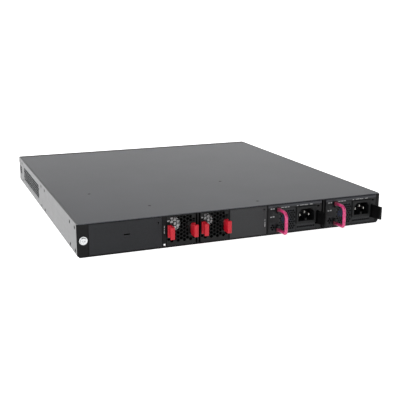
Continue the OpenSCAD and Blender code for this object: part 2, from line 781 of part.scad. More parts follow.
// The board across the inner end of the fan trays, with a socket for each plug
module fan_backplane() color("darkgreen") {
    box([fan_x(2) - fan_tray_w / 2, fan_board_y - board_t, sheet_t],
        [fan_x(1) + fan_tray_w / 2, fan_board_y, fan_board_top]);
    z0 = module_z + plug_z - plug_gap;
    z1 = module_z + plug_z + plug_h + plug_gap;
    for (i = [1, 2]) difference() {
        box([fan_x(i) - plug_w / 2 - plug_wall, fan_board_y - weld, z0 - plug_wall],
            [fan_x(i) + plug_w / 2 + plug_wall, fan_board_y + plug_socket_d, z1 + plug_wall]);
        box([fan_x(i) - plug_w / 2 - plug_gap, fan_board_y + 0.8, z0],
            [fan_x(i) + plug_w / 2 + plug_gap, fan_board_y + plug_socket_d + cut, z1]);
    }
}

// ---- fans ----

hub_cup_l = 3;
hub_gap = 0.5;
strut_w = 2;
strut_in = 0.4;
frame_hole_d = 3;
frame_hole_in = 2.9;
shaft_d = 2.4;
blade_n = 7;
blade_t = 1;
blade_pitch = 38;

// A square fan frame with its round duct, its struts and its hub cup; y = 0 at the hub's face
module fan_frame(w, bore, hub, depth) difference() {
    union() {
        difference() {
            box([-w / 2, -depth, -w / 2], [w / 2, 0, w / 2]);
            rod_y(0, 0, -depth - cut, cut, bore);
        }
        rod_y(0, 0, -hub_cup_l, 0, hub);
        for (a = [45:90:315]) rotate([0, a, 0])
            box([0, -strut_in - strut_w, -strut_w / 2], [bore / 2 + 0.6, -strut_in, strut_w / 2]);
    }
    rod_y(0, 0, -hub_cup_l - cut, -0.6, shaft_d + 2 * pivot_gap);
    for (x = [-1, 1], z = [-1, 1])
        rod_y(x * (w / 2 - frame_hole_in), z * (w / 2 - frame_hole_in), -depth - cut, cut, frame_hole_d);
}

// A hub with pitched blades and the shaft that runs in the hub cup
module fan_rotor_shape(bore, hub, depth) {
    span = bore / 2 - tip_gap;
    y1 = -hub_cup_l - hub_gap;
    body_l = depth - 6;
    rod_y(0, 0, y1 - body_l, y1, hub - 0.6);
    rod_y(0, 0, y1 - weld, -0.8, shaft_d);
    intersection() {
        difference() {
            rod_y(0, 0, y1 - body_l, y1, 2 * span);
            rod_y(0, 0, y1 - body_l - cut, y1 + cut, hub - 1.6);
        }
        for (b = [0:blade_n - 1]) rotate([0, b * 360 / blade_n, 0]) translate([0, y1 - body_l / 2, 0])
            rotate([0, 0, 90]) rotate([blade_pitch, 0, 0]) translate([0, 0, span / 2 + hub / 4])
                cube([3 * body_l, blade_t, span], center = true);
    }
}

// ---- fan trays ----

fan_w = min(fan_tray_w, module_h) - 2 * tray_t - 0.2;
fan_bore_d = fan_w - 1.8;

module at_fan(i) translate([fan_x(i), rear_y, module_z]) children();

tab_t = 1.6;
tab_gap = 0.3;
tab_r = 3;
pin_proud = 1.8;

// A pair of tabs with a pivot bore, standing inwards from a side wall at x1
module pivot_tabs(x0, x1, x_pivot, y_pivot, z_low, z_high)
    for (z = [z_low - tab_gap - tab_t, z_high + tab_gap]) difference() {
        box([min(x0, x1), -y_pivot - tab_r, z], [max(x0, x1), -y_pivot + tab_r, z + tab_t]);
        translate([x_pivot, -y_pivot, z - cut]) cylinder(h = tab_t + 2 * cut, d = pivot_d + 2 * pivot_gap);
    }

grip_stem_x = grip_outer_x - grip_w;
grip_low_z = grip_z - grip_h / 2;
tang_h = grip_h - 4;
tang_low_z = grip_z - tang_h / 2;
tang_x = grip_stem_x + grip_t / 2;
tray_end_h = 15;

module fan_tray(i) color("#3a3b3d") at_fan(i) {
    difference() {
        box([-fan_tray_w / 2, -fan_tray_d, 0], [fan_tray_w / 2, -face_t, module_h]);
        box([-fan_tray_w / 2 + tray_t, -fan_tray_d - cut, tray_t],
            [fan_tray_w / 2 - tray_t, cut, module_h - tray_t]);
    }
    difference() {
        box([-fan_tray_w / 2 + tray_t - weld, -fan_tray_d, tray_t - weld],
            [fan_tray_w / 2 - tray_t + weld, -fan_tray_d + tray_t, tray_end_h]);
        box([-plug_w / 2 + 1, -fan_tray_d - cut, plug_z + 1],
            [plug_w / 2 - 1, -fan_tray_d + tray_t + cut, plug_z + plug_h - 1]);
    }
    for (s = [-1, 1])
        pivot_tabs(s * (tang_x - 2), s * (fan_tray_w / 2 - tray_t + weld), s * tang_x, grip_pivot_y,
                   tang_low_z, tang_low_z + tang_h);
}

// Space beside a pinched grip's tang in its slot, inwards and outwards, and the plain border of the slot
slot_space_in = 1.1;
slot_space_out = 0.3;
slot_border = 1;
grip_slot_in = tang_x - grip_t / 2 - grip_pivot_y * sin(grip_angle) - slot_space_in;
grip_slot_out = tang_x + grip_t / 2 + slot_space_out;
comb_margin = 0.7;
comb_half_w = fan_tray_w / 2 - tray_t;
comb_top = module_h - comb_margin;

// Upright columns of cells, whole above the solid band and cut off along the top
module comb_cells() difference() {
    step_x = cell_pitch * sqrt(3) / 2;
    columns = floor(comb_half_w / step_x);
    rows = floor((comb_top - comb_low) / cell_pitch);
    intersection() {
        translate([-comb_half_w, comb_low]) square([2 * comb_half_w, comb_top - comb_low]);
        for (c = [-columns:columns], r = [0:rows])
            translate([c * step_x, comb_low + cell_hole / 2 + (r + (c % 2 == 0 ? 0.5 : 0)) * cell_pitch])
                circle(d = cell_hole * 2 / sqrt(3), $fn = 6);
    }
    for (s = [-1, 1]) {
        translate([s * comb_half_w, comb_top]) square(2 * comb_corner, center = true);
        translate([s * comb_half_w, grip_z])
            square([2 * (comb_half_w - grip_slot_in + slot_border), grip_h + 3 * slot_border], center = true);
    }
}

// The punched face: honeycomb, and a slot behind each grip
module fan_grille(i) color("#2b2c2e") at_fan(i) difference() {
    along_depth(-face_t, 0) difference() {
        translate([-fan_tray_w / 2, 0]) square([fan_tray_w, module_h]);
        comb_cells();
    }
    for (s = [-1, 1])
        box([min(s * grip_slot_in, s * grip_slot_out), -face_t - cut, tang_low_z - 0.4],
            [max(s * grip_slot_in, s * grip_slot_out), cut, tang_low_z + tang_h + 0.4]);
}

module fan_housing(i) color("#1c1d1f") at_fan(i)
    translate([0, -fan_setback, module_h / 2]) fan_frame(fan_w, fan_bore_d, fan_hub_d, fan_d);

module fan_rotor(i) color("#141516") at_fan(i)
    translate([0, -fan_setback, module_h / 2]) fan_rotor_shape(fan_bore_d, fan_hub_d, fan_d);

// A strip with full-round ends, from x0 to x1, on its middle line y
module round_strip(x0, x1, y, t) {
    translate([x0 + t / 2, y - t / 2]) square([x1 - x0 - t, t]);
    for (x = [x0 + t / 2, x1 - t / 2]) translate([x, y]) circle(d = t);
}

// A pinch grip: a channel open away from the tray's middle, its tang and its pivot pin
module fan_grip(i, side) color("crimson") at_fan(i) mirror([side < 0 ? 1 : 0, 0, 0]) {
    translate([0, 0, grip_low_z]) linear_extrude(grip_h) {
        round_strip(grip_stem_x, grip_outer_x, grip_face_gap + grip_t / 2, grip_t);
        round_strip(grip_stem_x, grip_outer_x, grip_proud - grip_flange_t / 2, grip_flange_t);
        translate([grip_stem_x, grip_face_gap + grip_t / 2])
            square([grip_t, grip_proud - grip_face_gap - (grip_t + grip_flange_t) / 2]);
    }
    box([grip_stem_x, -grip_pivot_y - 2, tang_low_z],
        [grip_stem_x + grip_t, grip_face_gap + 1, tang_low_z + tang_h]);
    translate([tang_x, -grip_pivot_y, tang_low_z - pin_proud])
        cylinder(h = tang_h + 2 * pin_proud, d = pivot_d);
}

module fan_plug(i) color("#e8e4d8") at_fan(i)
    box([-plug_w / 2, -fan_tray_d - plug_l + 2.5, plug_z], [plug_w / 2, -fan_tray_d, plug_z + plug_h]);

// ---- power supplies ----

module at_psu(i) translate([psu_x(i), rear_y, module_z]) children();

// A box whose X places are counted from the supply's bail side
module psu_box(x0, x1, y0, y1, z0, z1) box([-x1, y0, z0], [-x0, y1, z1]);

// Places across the supply, counted from its bail side
inlet_w = socket_w + 2 * inlet_border;
inlet_mid = latch_x - inlet_latch_gap - inlet_w / 2;
inlet_near = inlet_mid - inlet_w / 2;
inlet_mid_z = inlet_z + inlet_h / 2;
psu_fan_x = inlet_mid - socket_w / 2 - socket_wall - psu_fan_in;
lug_d = 4.2;

// Windows of the face: from, to, low and high
main_vent = [bail_x + lug_d / 2, inlet_near - 0.6, 1.6, 33.0];
side_vent = [2.2, 11.8, 1.6, 15.8];
low_vent = [inlet_near + 1.2, inlet_near + inlet_w - 0.2, 1.6, 9.2];
small_slot = [75.6, 79.4, 31.6, 33.8];
latch_slot_in = latch_x - latch_t / 2 - latch_pivot_y * sin(latch_angle) - 0.5;
latch_slot_out = latch_x + latch_t / 2 + 0.5;
latch_tilt = atan(latch_lean / latch_proud);

module psu_case(i) color("#55575a") at_psu(i) {
    difference() {
        psu_box(0, psu_w, -psu_d, -face_t, 0, module_h);
        psu_box(tray_t, psu_w - tray_t, -psu_d + tray_t, cut, tray_t, module_h - tray_t);
        psu_box(psu_w / 2 - edge_w / 2 - 1, psu_w / 2 + edge_w / 2 + 1, -psu_d - cut, -psu_d + 2, 14, 20);
        for (x = [8:6:74]) psu_box(x, x + 3, -psu_d - cut, -psu_d + 2, 24, 34);
    }
    pivot_tabs(-(latch_x - 3), -(psu_w - tray_t + weld), -latch_x, latch_pivot_y,
               latch_z, latch_z + latch_h);
}

inlet_clear = 0.1;

// A lug that carries one end of the bail, and the pin through the bail's eye
module bail_lug(eye_z, side) {
    lug_z = eye_z + side * (bail_rod_d / 2 + eye_rim + lug_gap + lug_h / 2);
    translate([-bail_x, 0, lug_z]) {
        translate([-lug_d / 2, -weld, -lug_h / 2]) cube([lug_d, bail_pivot_y, lug_h]);
        translate([0, bail_pivot_y, 0]) cylinder(h = lug_h, d = lug_d, center = true);
    }
    translate([-bail_x, bail_pivot_y, (lug_z + eye_z) / 2])
        cylinder(h = abs(lug_z - eye_z) + bail_rod_d * 0.8, d = pivot_d, center = true);
}

// The flat face with its windows, the rib along its top and the two lugs for the bail
module psu_face(i) color("#2e2f31") at_psu(i) {
    socket_rim = socket_wall + inlet_clear;
    difference() {
        union() {
            psu_box(0, psu_w, -face_t, 0, 0, module_h);
            psu_box(1, psu_w - 1, -weld, brow_proud, module_h - brow_h - 0.4, module_h - 0.4);
        }
        for (v = [main_vent, side_vent, low_vent, small_slot])
            psu_box(v[0], v[1], -face_t - cut, cut, v[2], v[3]);
        psu_box(inlet_mid - socket_w / 2 - socket_rim, inlet_mid + socket_w / 2 + socket_rim,
                -face_t - cut, cut,
                inlet_mid_z - socket_h / 2 - socket_rim, inlet_mid_z + socket_h / 2 + socket_rim);
        psu_box(latch_slot_in, latch_slot_out, -face_t - cut, cut, latch_z - 0.5, latch_z + latch_h + 0.5);
    }
    bail_lug(bail_low_z, 1);
    bail_lug(bail_top_z, -1);
}

// The perforated sheets of the fan opening, the display column and the space below the inlet
module psu_vents(i) color("#232426") at_psu(i) for (v = [main_vent, side_vent, low_vent])
    translate([-(v[0] + v[1]) / 2, -face_t / 2, (v[2] + v[3]) / 2]) rotate([90, 0, 0])
        punched_sheet(v[1] - v[0], v[3] - v[2], hole_pitch, hole_w);

ridge_half_w = 1.5;
ridge_h = 3.4;
ridge_in = 1.2;
pin_half_t = 1;
pin_half_h = 2;
earth_pin_z = 2.6;
outer_pin_z = -1.4;

module socket_outline() {
    w = socket_w / 2;
    h = socket_h / 2;
    polygon([[-w, -h], [w, -h], [w, h - socket_bevel], [w - socket_bevel, h],
             [-w + socket_bevel, h], [-w, h - socket_bevel]]);
}

// The inlet's frame and socket, with the ridge along the socket's floor
module psu_inlet(i) color("#1d1e20") at_psu(i) translate([-inlet_mid, 0, inlet_mid_z]) {
    difference() {
        union() {
            along_depth(0, inlet_proud) square([inlet_w, inlet_h], center = true);
            along_depth(-socket_d, weld)
                square([socket_w + 2 * socket_wall, socket_h + 2 * socket_wall], center = true);
        }
        along_depth(inlet_proud - socket_d, inlet_proud + cut) socket_outline();
    }
    box([-ridge_half_w, inlet_proud - socket_d - weld, -socket_h / 2 - weld],
        [ridge_half_w, inlet_proud - ridge_in, -socket_h / 2 + ridge_h]);
}

module psu_inlet_pins(i) color("silver")
    at_psu(i) translate([-inlet_mid, inlet_proud - socket_d, inlet_mid_z])
        for (p = [[0, earth_pin_z], [-pin_pitch / 2, outer_pin_z], [pin_pitch / 2, outer_pin_z]])
            box([p[0] - pin_half_t, 0, p[1] - pin_half_h], [p[0] + pin_half_t, pin_l, p[1] + pin_half_h]);

// The bail: two legs with hinge eyes, two bends and the upright that is pulled
module psu_bail(i) color("#c24a7a") at_psu(i) translate([-bail_x, bail_pivot_y, 0]) difference() {
    r = bail_rod_d / 2;
    out = bail_proud - bail_pivot_y - r;
    eye_h = bail_rod_d + 2 * eye_rim;
    union() {
        for (leg = [[bail_top_z, bail_top_r], [bail_low_z, bail_low_r]]) {
            translate([0, 0, leg[0] - eye_h / 2]) cylinder(h = eye_h, r = r + 0.6);
            rod_y(0, leg[0], 0, out - leg[1] + weld, bail_rod_d);
        }
        translate([0, out, bail_low_z + bail_low_r - weld])
            cylinder(h = bail_top_z - bail_low_z - bail_top_r - bail_low_r + 2 * weld, r = r);
        translate([0, out - bail_top_r, bail_top_z - bail_top_r]) rotate([90, 0, 90])
            rotate_extrude(angle = 90) translate([bail_top_r, 0]) circle(r = r);
        translate([0, out - bail_low_r, bail_low_z + bail_low_r]) rotate([0, 90, 0])
            rotate_extrude(angle = 90) translate([bail_low_r, 0]) circle(r = r);
    }
    for (z = [bail_top_z, bail_low_z]) translate([0, 0, z])
        cylinder(h = eye_h + 2 * cut, d = pivot_d + 2 * pivot_gap, center = true);
}

// The latch: a leaning blade with a thicker tip, on an arm that pivots behind the face
module psu_latch(i) color("#242527") at_psu(i) translate([-latch_x, 0, latch_z]) {
    tip_r = 1.4;
    blade_l = latch_proud / cos(latch_tilt) - tip_r;
    linear_extrude(latch_h) {
        translate([-latch_t / 2, -latch_pivot_y - 2]) square([latch_t, latch_pivot_y + 2.4]);
        rotate(latch_tilt) {
            translate([-latch_t / 2, 0]) square([latch_t, blade_l]);
            translate([0, blade_l]) circle(r = tip_r);
        }
    }
    translate([0, -latch_pivot_y, -pin_proud]) cylinder(h = latch_h + 2 * pin_proud, d = pivot_d);
}

psu_bore_d = psu_fan_w - 1.6;

module psu_fan_housing(i) color("#1c1d1f") at_psu(i)
    translate([-psu_fan_x, -psu_fan_setback, module_h / 2])
        fan_frame(psu_fan_w, psu_bore_d, psu_hub_d, fan_d);

module psu_fan_rotor(i) color("#1f2f5a") at_psu(i)
    translate([-psu_fan_x, -psu_fan_setback, module_h / 2])
        fan_rotor_shape(psu_bore_d, psu_hub_d, fan_d);

// Upright parts of the supply's board: from, to, inner end, outer end and height
psu_parts = [
    [48, 76, -76, -44, 19],
    [8, 11, -165, -95, 19],
    [42, 45, -165, -95, 19],
    [74, 77, -165, -95, 19],
    [14, 38, -160, -100, 14],
    [49, 70, -150, -110, 16]
];
capacitor_d = 15;
capacitor_h = 18;

// The supply's board with its edge connector, transformer, capacitors, heat sinks and rails
module psu_board(i) color("#3f6b3a") at_psu(i) {
    low = edge_z - module_z;
    top = low + board_t - weld;
    psu_box(2, psu_w - 2, -psu_d + 2, -36, low, low + board_t);
    psu_box(psu_w / 2 - edge_w / 2, psu_w / 2 + edge_w / 2, -psu_d - 9, -psu_d + 2 + weld,
            low, low + board_t);
    for (x = [16, 34]) translate([-x, -58, top]) cylinder(h = capacitor_h, d = capacitor_d);
    for (p = psu_parts) psu_box(p[0], p[1], p[2], p[3], top, top + p[4]);
    for (x = [6, 74]) psu_box(x, x + 3, -160, -50, tray_t + 0.1, low + weld);
}

base_tray();
top_cover();
cover_screws();
ground_screw();
rear_frame();
module_slot_cover();
middle_cover();
status_light();
fan_bay_walls();
fan_bay_divider();
psu_bay_walls();
psu_bay_divider();
module_bay_wall();
front_panel();
port_cage(1);  // port_cage_1
port_cage(2);  // port_cage_2
port_cage(3);  // port_cage_3
service_jacks();
usb_socket();
port_light_pipes();
vent_screens();
main_board();
board_standoffs();
heat_sinks();
power_backplane();
fan_backplane();
fan_tray(1);  // fan_1_tray
fan_grille(1);  // fan_1_grille
fan_housing(1);  // fan_1_housing
fan_rotor(1);  // fan_1_rotor
fan_grip(1, 1);  // fan_1_left_grip
fan_grip(1, -1);  // fan_1_right_grip
fan_plug(1);  // fan_1_plug
fan_tray(2);  // fan_2_tray
fan_grille(2);  // fan_2_grille
fan_housing(2);  // fan_2_housing
fan_rotor(2);  // fan_2_rotor
fan_grip(2, 1);  // fan_2_left_grip
fan_grip(2, -1);  // fan_2_right_grip
fan_plug(2);  // fan_2_plug
psu_case(1);  // psu_1_case
psu_face(1);  // psu_1_face
psu_vents(1);  // psu_1_vents
psu_inlet(1);  // psu_1_inlet
psu_inlet_pins(1);  // psu_1_inlet_pins
psu_bail(1);  // psu_1_bail
psu_latch(1);  // psu_1_latch
psu_fan_housing(1);  // psu_1_fan_housing
psu_fan_rotor(1);  // psu_1_fan_rotor
psu_board(1);  // psu_1_board
psu_case(2);  // psu_2_case
psu_face(2);  // psu_2_face
psu_vents(2);  // psu_2_vents
psu_inlet(2);  // psu_2_inlet
psu_inlet_pins(2);  // psu_2_inlet_pins
psu_bail(2);  // psu_2_bail
psu_latch(2);  // psu_2_latch
psu_fan_housing(2);  // psu_2_fan_housing
psu_fan_rotor(2);  // psu_2_fan_rotor
psu_board(2);  // psu_2_board
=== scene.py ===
import json
import math

import bmesh
import bpy
from mathutils import Matrix, Vector


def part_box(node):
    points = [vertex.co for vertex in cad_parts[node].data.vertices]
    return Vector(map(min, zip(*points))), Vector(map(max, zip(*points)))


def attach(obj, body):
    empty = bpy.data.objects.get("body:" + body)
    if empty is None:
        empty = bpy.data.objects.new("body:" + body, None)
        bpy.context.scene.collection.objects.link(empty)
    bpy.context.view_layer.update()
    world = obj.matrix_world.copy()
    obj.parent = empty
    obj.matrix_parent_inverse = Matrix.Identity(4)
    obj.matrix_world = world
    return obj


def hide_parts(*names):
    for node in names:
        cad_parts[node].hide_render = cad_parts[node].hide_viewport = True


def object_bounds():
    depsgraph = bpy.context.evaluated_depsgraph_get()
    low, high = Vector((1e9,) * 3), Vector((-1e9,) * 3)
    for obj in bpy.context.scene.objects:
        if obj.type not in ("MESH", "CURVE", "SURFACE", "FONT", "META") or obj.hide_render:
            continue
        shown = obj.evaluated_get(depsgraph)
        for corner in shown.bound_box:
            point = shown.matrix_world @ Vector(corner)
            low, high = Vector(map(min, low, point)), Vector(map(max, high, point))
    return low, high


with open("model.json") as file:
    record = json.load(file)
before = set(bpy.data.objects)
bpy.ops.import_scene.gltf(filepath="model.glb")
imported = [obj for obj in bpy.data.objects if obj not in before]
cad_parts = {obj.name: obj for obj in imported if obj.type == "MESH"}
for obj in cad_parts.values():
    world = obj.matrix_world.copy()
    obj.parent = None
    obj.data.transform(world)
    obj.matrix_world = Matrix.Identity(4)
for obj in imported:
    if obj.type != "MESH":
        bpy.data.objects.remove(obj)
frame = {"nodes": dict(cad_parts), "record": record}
cadLow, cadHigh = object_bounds()
nodes = frame["nodes"]
mm = 0.001


def hexColour(code):  # sRGB hex to the linear colour that sockets take
    channels = [int(code[i:i + 2], 16) / 255 for i in (0, 2, 4)]
    linear = [c / 12.92 if c <= 0.04045 else ((c + 0.055) / 1.055) ** 2.4 for c in channels]
    return (*linear, 1.0)


def boxOf(node):  # a node's low and high corners in mm
    low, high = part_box(node)
    return low / mm, high / mm


def addNode(tree, kind, settings=None, inputs=None):
    node = tree.nodes.new(kind)
    for name, value in (settings or {}).items():
        setattr(node, name, value)
    for name, value in (inputs or {}).items():
        if isinstance(value, bpy.types.NodeSocket):
            tree.links.new(value, node.inputs[name])
        else:
            node.inputs[name].default_value = value
    return node


def newFinish(name, **sockets):  # a material, its node tree and its shader, with plain values on the shader
    material = bpy.data.materials.new(name)
    material.use_nodes = True
    shader = material.node_tree.nodes["Principled BSDF"]
    for socket, value in sockets.items():
        shader.inputs[socket.replace("_", " ")].default_value = value
    return material, material.node_tree, shader


def deselectAll():
    if bpy.context.object and bpy.context.object.mode == "EDIT":
        bpy.ops.object.mode_set(mode="OBJECT")
    bpy.ops.object.select_all(action="DESELECT")


def startBlock(name, low, high):  # a block between two corners in mm, open for editing
    deselectAll()
    bpy.ops.mesh.primitive_cube_add(size=1)
    piece = bpy.context.object
    piece.name = piece.data.name = name
    bpy.ops.object.mode_set(mode="EDIT")
    low, high = Vector(low), Vector(high)
    bpy.ops.transform.resize(value=(high - low) * mm)
    bpy.ops.transform.translate(value=(low + high) / 2 * mm)
    return piece


def startDisc(name, middle, radius, sides, axis="Y"):  # a filled circle in mm that faces along X or Y
    deselectAll()
    turn = {"X": (0, math.pi / 2, 0), "Y": (-math.pi / 2, 0, 0)}[axis]
    bpy.ops.mesh.primitive_circle_add(vertices=sides, radius=radius * mm, fill_type="NGON", rotation=turn)
    piece = bpy.context.object
    piece.name = piece.data.name = name
    bpy.ops.object.transform_apply(rotation=True)
    bpy.ops.object.mode_set(mode="EDIT")
    bpy.ops.transform.translate(value=Vector(middle) * mm)
    return piece


def pick(piece, test):  # selects faces by their middle, in mm, and the way they face
    bpy.ops.mesh.select_mode(type="FACE")
    bpy.ops.mesh.select_all(action="DESELECT")
    mesh = bmesh.from_edit_mesh(piece.data)
    for face in mesh.faces:
        middle = sum((corner.co for corner in face.verts), Vector()) / len(face.verts) / mm
        if test(middle, face.normal):
            face.select_set(True)
    bmesh.update_edit_mesh(piece.data)


def push(x=0, y=0, z=0):  # extrudes what is selected by a distance in mm
    bpy.ops.mesh.extrude_region_move(TRANSFORM_OT_translate={"value": (x * mm, y * mm, z * mm)})


def rim(width, rise=0):  # insets what is selected by a width in mm, and lifts its middle
    bpy.ops.mesh.inset(thickness=width * mm, depth=rise * mm)


def cut(place, normal):  # cuts the whole piece along a plane
    bpy.ops.mesh.select_all(action="SELECT")
    bpy.ops.mesh.bisect(plane_co=Vector(place) * mm, plane_no=normal)


doubleGap = 0.002  # in mm, below which two corners of a new piece become one


def closeEdit(piece, bevel=0.0, segments=2, angle=40, smooth=35):
    # doubles are merged and the outside faces out, then the edges are rounded and shaded
    bpy.ops.object.mode_set(mode="EDIT")
    bpy.ops.mesh.select_mode(type="VERT")
    bpy.ops.mesh.select_all(action="SELECT")
    bpy.ops.mesh.remove_doubles(threshold=doubleGap * mm)
    bpy.ops.mesh.normals_make_consistent(inside=False)
    bpy.ops.object.mode_set(mode="OBJECT")
    if bevel:
        rounding = piece.modifiers.new("rounding", "BEVEL")
        rounding.width = bevel * mm
        rounding.segments = segments
        rounding.limit_method = "ANGLE"
        rounding.angle_limit = math.radians(angle)
        bpy.ops.object.modifier_apply(modifier=rounding.name)
    bpy.ops.object.shade_smooth_by_angle(angle=math.radians(smooth))


def settle(piece, finish, body, slot, *stoodFor):  # finish, body and the CAD nodes it stands for; the slot is not used
    piece.data.materials.clear()
    piece.data.materials.append(finish)
    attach(piece, body)
    if stoodFor:
        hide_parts(*stoodFor)


def copyPiece(piece, name, move=(0, 0, 0), mirrorX=None):
    # a copy with its own mesh, moved by a distance or mirrored about an X place, in mm
    deselectAll()
    twin = piece.copy()
    twin.data = piece.data.copy()
    twin.name = twin.data.name = name
    bpy.context.scene.collection.objects.link(twin)
    twin.select_set(True)
    bpy.context.view_layer.objects.active = twin
    bpy.ops.object.mode_set(mode="EDIT")
    bpy.ops.mesh.select_all(action="SELECT")
    if mirrorX is not None:
        bpy.ops.transform.mirror(constraint_axis=(True, False, False), center_override=(mirrorX * mm, 0, 0))
        bpy.ops.mesh.flip_normals()
    bpy.ops.transform.translate(value=Vector(move) * mm)
    bpy.ops.object.mode_set(mode="OBJECT")
    return twin


def joinInto(name, parts):  # makes one piece of several
    deselectAll()
    for part in parts:
        part.select_set(True)
    bpy.context.view_layer.objects.active = parts[0]
    if len(parts) > 1:
        bpy.ops.object.join()
    whole = bpy.context.object
    whole.name = whole.data.name = name
    return whole


cameraPlan = {
    "place": (0.3962, 1.0640, 0.2922),  # metres
    "target": (0.000994, 0.089843, 0.0200),
    "roll": 0.208,  # degrees
    "lens": 64.93, "sensor": 36,  # mm
    "farEnd": 20,  # metres
}


def makeCamera(plan):
    data = bpy.data.cameras.new("camera")
    data.lens = plan["lens"]
    data.sensor_width = plan["sensor"]
    data.clip_end = plan["farEnd"]
    camera = bpy.data.objects.new("camera", data)
    bpy.context.scene.collection.objects.link(camera)
    back = (Vector(plan["place"]) - Vector(plan["target"])).normalized()
    right = Vector((0, 0, 1)).cross(back).normalized()
    axes = Matrix((right, back.cross(right), back)).transposed()
    axes = axes @ Matrix.Rotation(math.radians(plan["roll"]), 3, "Z")
    camera.matrix_world = Matrix.Translation(plan["place"]) @ axes.to_4x4()
    bpy.context.scene.camera = camera


floorPlan = {
    "size": 12.0,  # metres
    "colour": "f6f6f6", "glowColour": "ffffff", "glow": 0.85, "roughness": 0.9, "specular": 0.1,
}


def makeFloor(plan):
    # seamless paper, lit so evenly that its edge can't be told from the background
    deselectAll()
    bpy.ops.mesh.primitive_plane_add(size=plan["size"], location=(0, 0, cadLow.z))
    floor = bpy.context.object
    floor.name = "studioFloor"
    paper, tree, shader = newFinish(
        "seamless white paper", Roughness=plan["roughness"], Specular_IOR_Level=plan["specular"],
        Emission_Strength=plan["glow"])
    shader.inputs["Base Color"].default_value = hexColour(plan["colour"])
    shader.inputs["Emission Color"].default_value = hexColour(plan["glowColour"])
    floor.data.materials.append(paper)


# how bright the white tent is from its floor, at 0, to its top, at 1
tentShades = [(0.0, 3.4), (0.12, 1.8), (0.24, 0.3), (0.4, 0.2), (0.7, 0.25), (1.0, 0.25)]


def makeTent(shades):
    world = bpy.data.worlds.new("white tent")
    world.use_nodes = True
    tent = world.node_tree
    way = addNode(tent, "ShaderNodeTexCoord").outputs["Generated"]
    height = addNode(tent, "ShaderNodeSeparateXYZ", {}, {"Vector": way}).outputs["Z"]
    ramp = addNode(tent, "ShaderNodeValToRGB", {}, {"Fac": height})
    stops = ramp.color_ramp.elements
    brightest = max(shade for rise, shade in shades)
    for k, (rise, shade) in enumerate(shades):
        last = k == len(shades) - 1
        stop = stops[0] if k == 0 else stops[len(stops) - 1] if last else stops.new(rise)
        stop.position = rise
        stop.color = (shade / brightest, shade / brightest, shade / brightest, 1)
    bright = addNode(tent, "ShaderNodeMath", {"operation": "MULTIPLY"}, {
        0: ramp.outputs["Color"], 1: brightest})
    background = tent.nodes["Background"]
    background.inputs["Color"].default_value = hexColour("ffffff")
    tent.links.new(bright.outputs["Value"], background.inputs["Strength"])
    bpy.context.scene.world = world


lightPlan = {  # metres and watts
    "back softbox": {"place": (-0.9, -1.5, 1.1), "aim": (0, 0.05, 0), "size": 1.2, "power": 0.5},
    "overhead softbox": {"place": (0.0, -0.8, 1.8), "aim": (0, 0.05, 0), "size": 1.4, "power": 8},
    "side softbox": {"place": (1.8, 0.0, 0.7), "aim": (0, 0.05, 0), "size": 1.0, "power": 14},
    "front softbox": {"place": (0.9, 1.6, 0.9), "aim": (0, 0.2, 0), "size": 0.8, "power": 12},
}


def makeLights(plan):
    for name, facts in plan.items():
        data = bpy.data.lights.new(name, "AREA")
        data.shape = "DISK"
        data.size = facts["size"]
        data.energy = facts["power"]
        light = bpy.data.objects.new(name, data)
        light.location = facts["place"]
        aim = Vector(facts["aim"]) - Vector(facts["place"])
        light.rotation_euler = aim.to_track_quat("-Z", "Y").to_euler()
        bpy.context.scene.collection.objects.link(light)


makeCamera(cameraPlan)
makeFloor(floorPlan)
makeTent(tentShades)
makeLights(lightPlan)
bpy.context.scene.view_settings.view_transform = "Standard"
print("stage 1: camera, floor and light")


softRange = {"From Min": 0.3, "From Max": 0.7}  # most of a noise's values lie in here
hardRange = {"From Min": 0.35, "From Max": 0.65}  # a narrower part of them gives a harder pattern
coatLook = {"cloudiness": 0.35, "glossChange": 0.06}
metalLook = {"lineShare": 0.4, "maskRange": {"From Min": 0.4, "From Max": 1.0}, "glossChange": 0.08,
             "lineDepth": 0.02}


def texturedCoat(name, plan):
    # a coat with a fine orange-peel or sand texture: grain of a set size, faint clouds and a satin gloss
    material, tree, shader = newFinish(name, Specular_IOR_Level=plan.get("specular", 0.5))
    place = addNode(tree, "ShaderNodeTexCoord").outputs["Object"]
    grain = addNode(tree, "ShaderNodeTexNoise", {}, {
        "Vector": place, "Scale": 1 / (plan["grain"] * mm), "Detail": 2.0, "Roughness": 0.6})
    clouds = addNode(tree, "ShaderNodeTexNoise", {}, {
        "Vector": place, "Scale": 1 / (plan["cloud"] * mm), "Detail": 3.0})
    speckle = addNode(tree, "ShaderNodeMapRange", {}, {"Value": grain.outputs["Fac"], **hardRange})
    shade = addNode(tree, "ShaderNodeMix", {"data_type": "RGBA"}, {
        0: speckle.outputs["Result"], 6: hexColour(plan["dark"]), 7: hexColour(plan["light"])})
    cloudMask = addNode(tree, "ShaderNodeMapRange", {}, {
        "Value": clouds.outputs["Fac"], **softRange, "To Max": coatLook["cloudiness"]})
    colour = addNode(tree, "ShaderNodeMix", {"data_type": "RGBA"}, {
        0: cloudMask.outputs["Result"], 6: shade.outputs[2], 7: hexColour(plan["dark"])})
    tree.links.new(colour.outputs[2], shader.inputs["Base Color"])
    gloss = addNode(tree, "ShaderNodeMapRange", {}, {
        "Value": grain.outputs["Fac"], **softRange,
        "To Min": plan["roughness"] - coatLook["glossChange"],
        "To Max": plan["roughness"] + coatLook["glossChange"]})
    tree.links.new(gloss.outputs["Result"], shader.inputs["Roughness"])
    bump = addNode(tree, "ShaderNodeBump", {}, {
        "Height": grain.outputs["Fac"], "Strength": plan["bump"], "Distance": plan["depth"] * mm})
    tree.links.new(bump.outputs["Normal"], shader.inputs["Normal"])
    return material


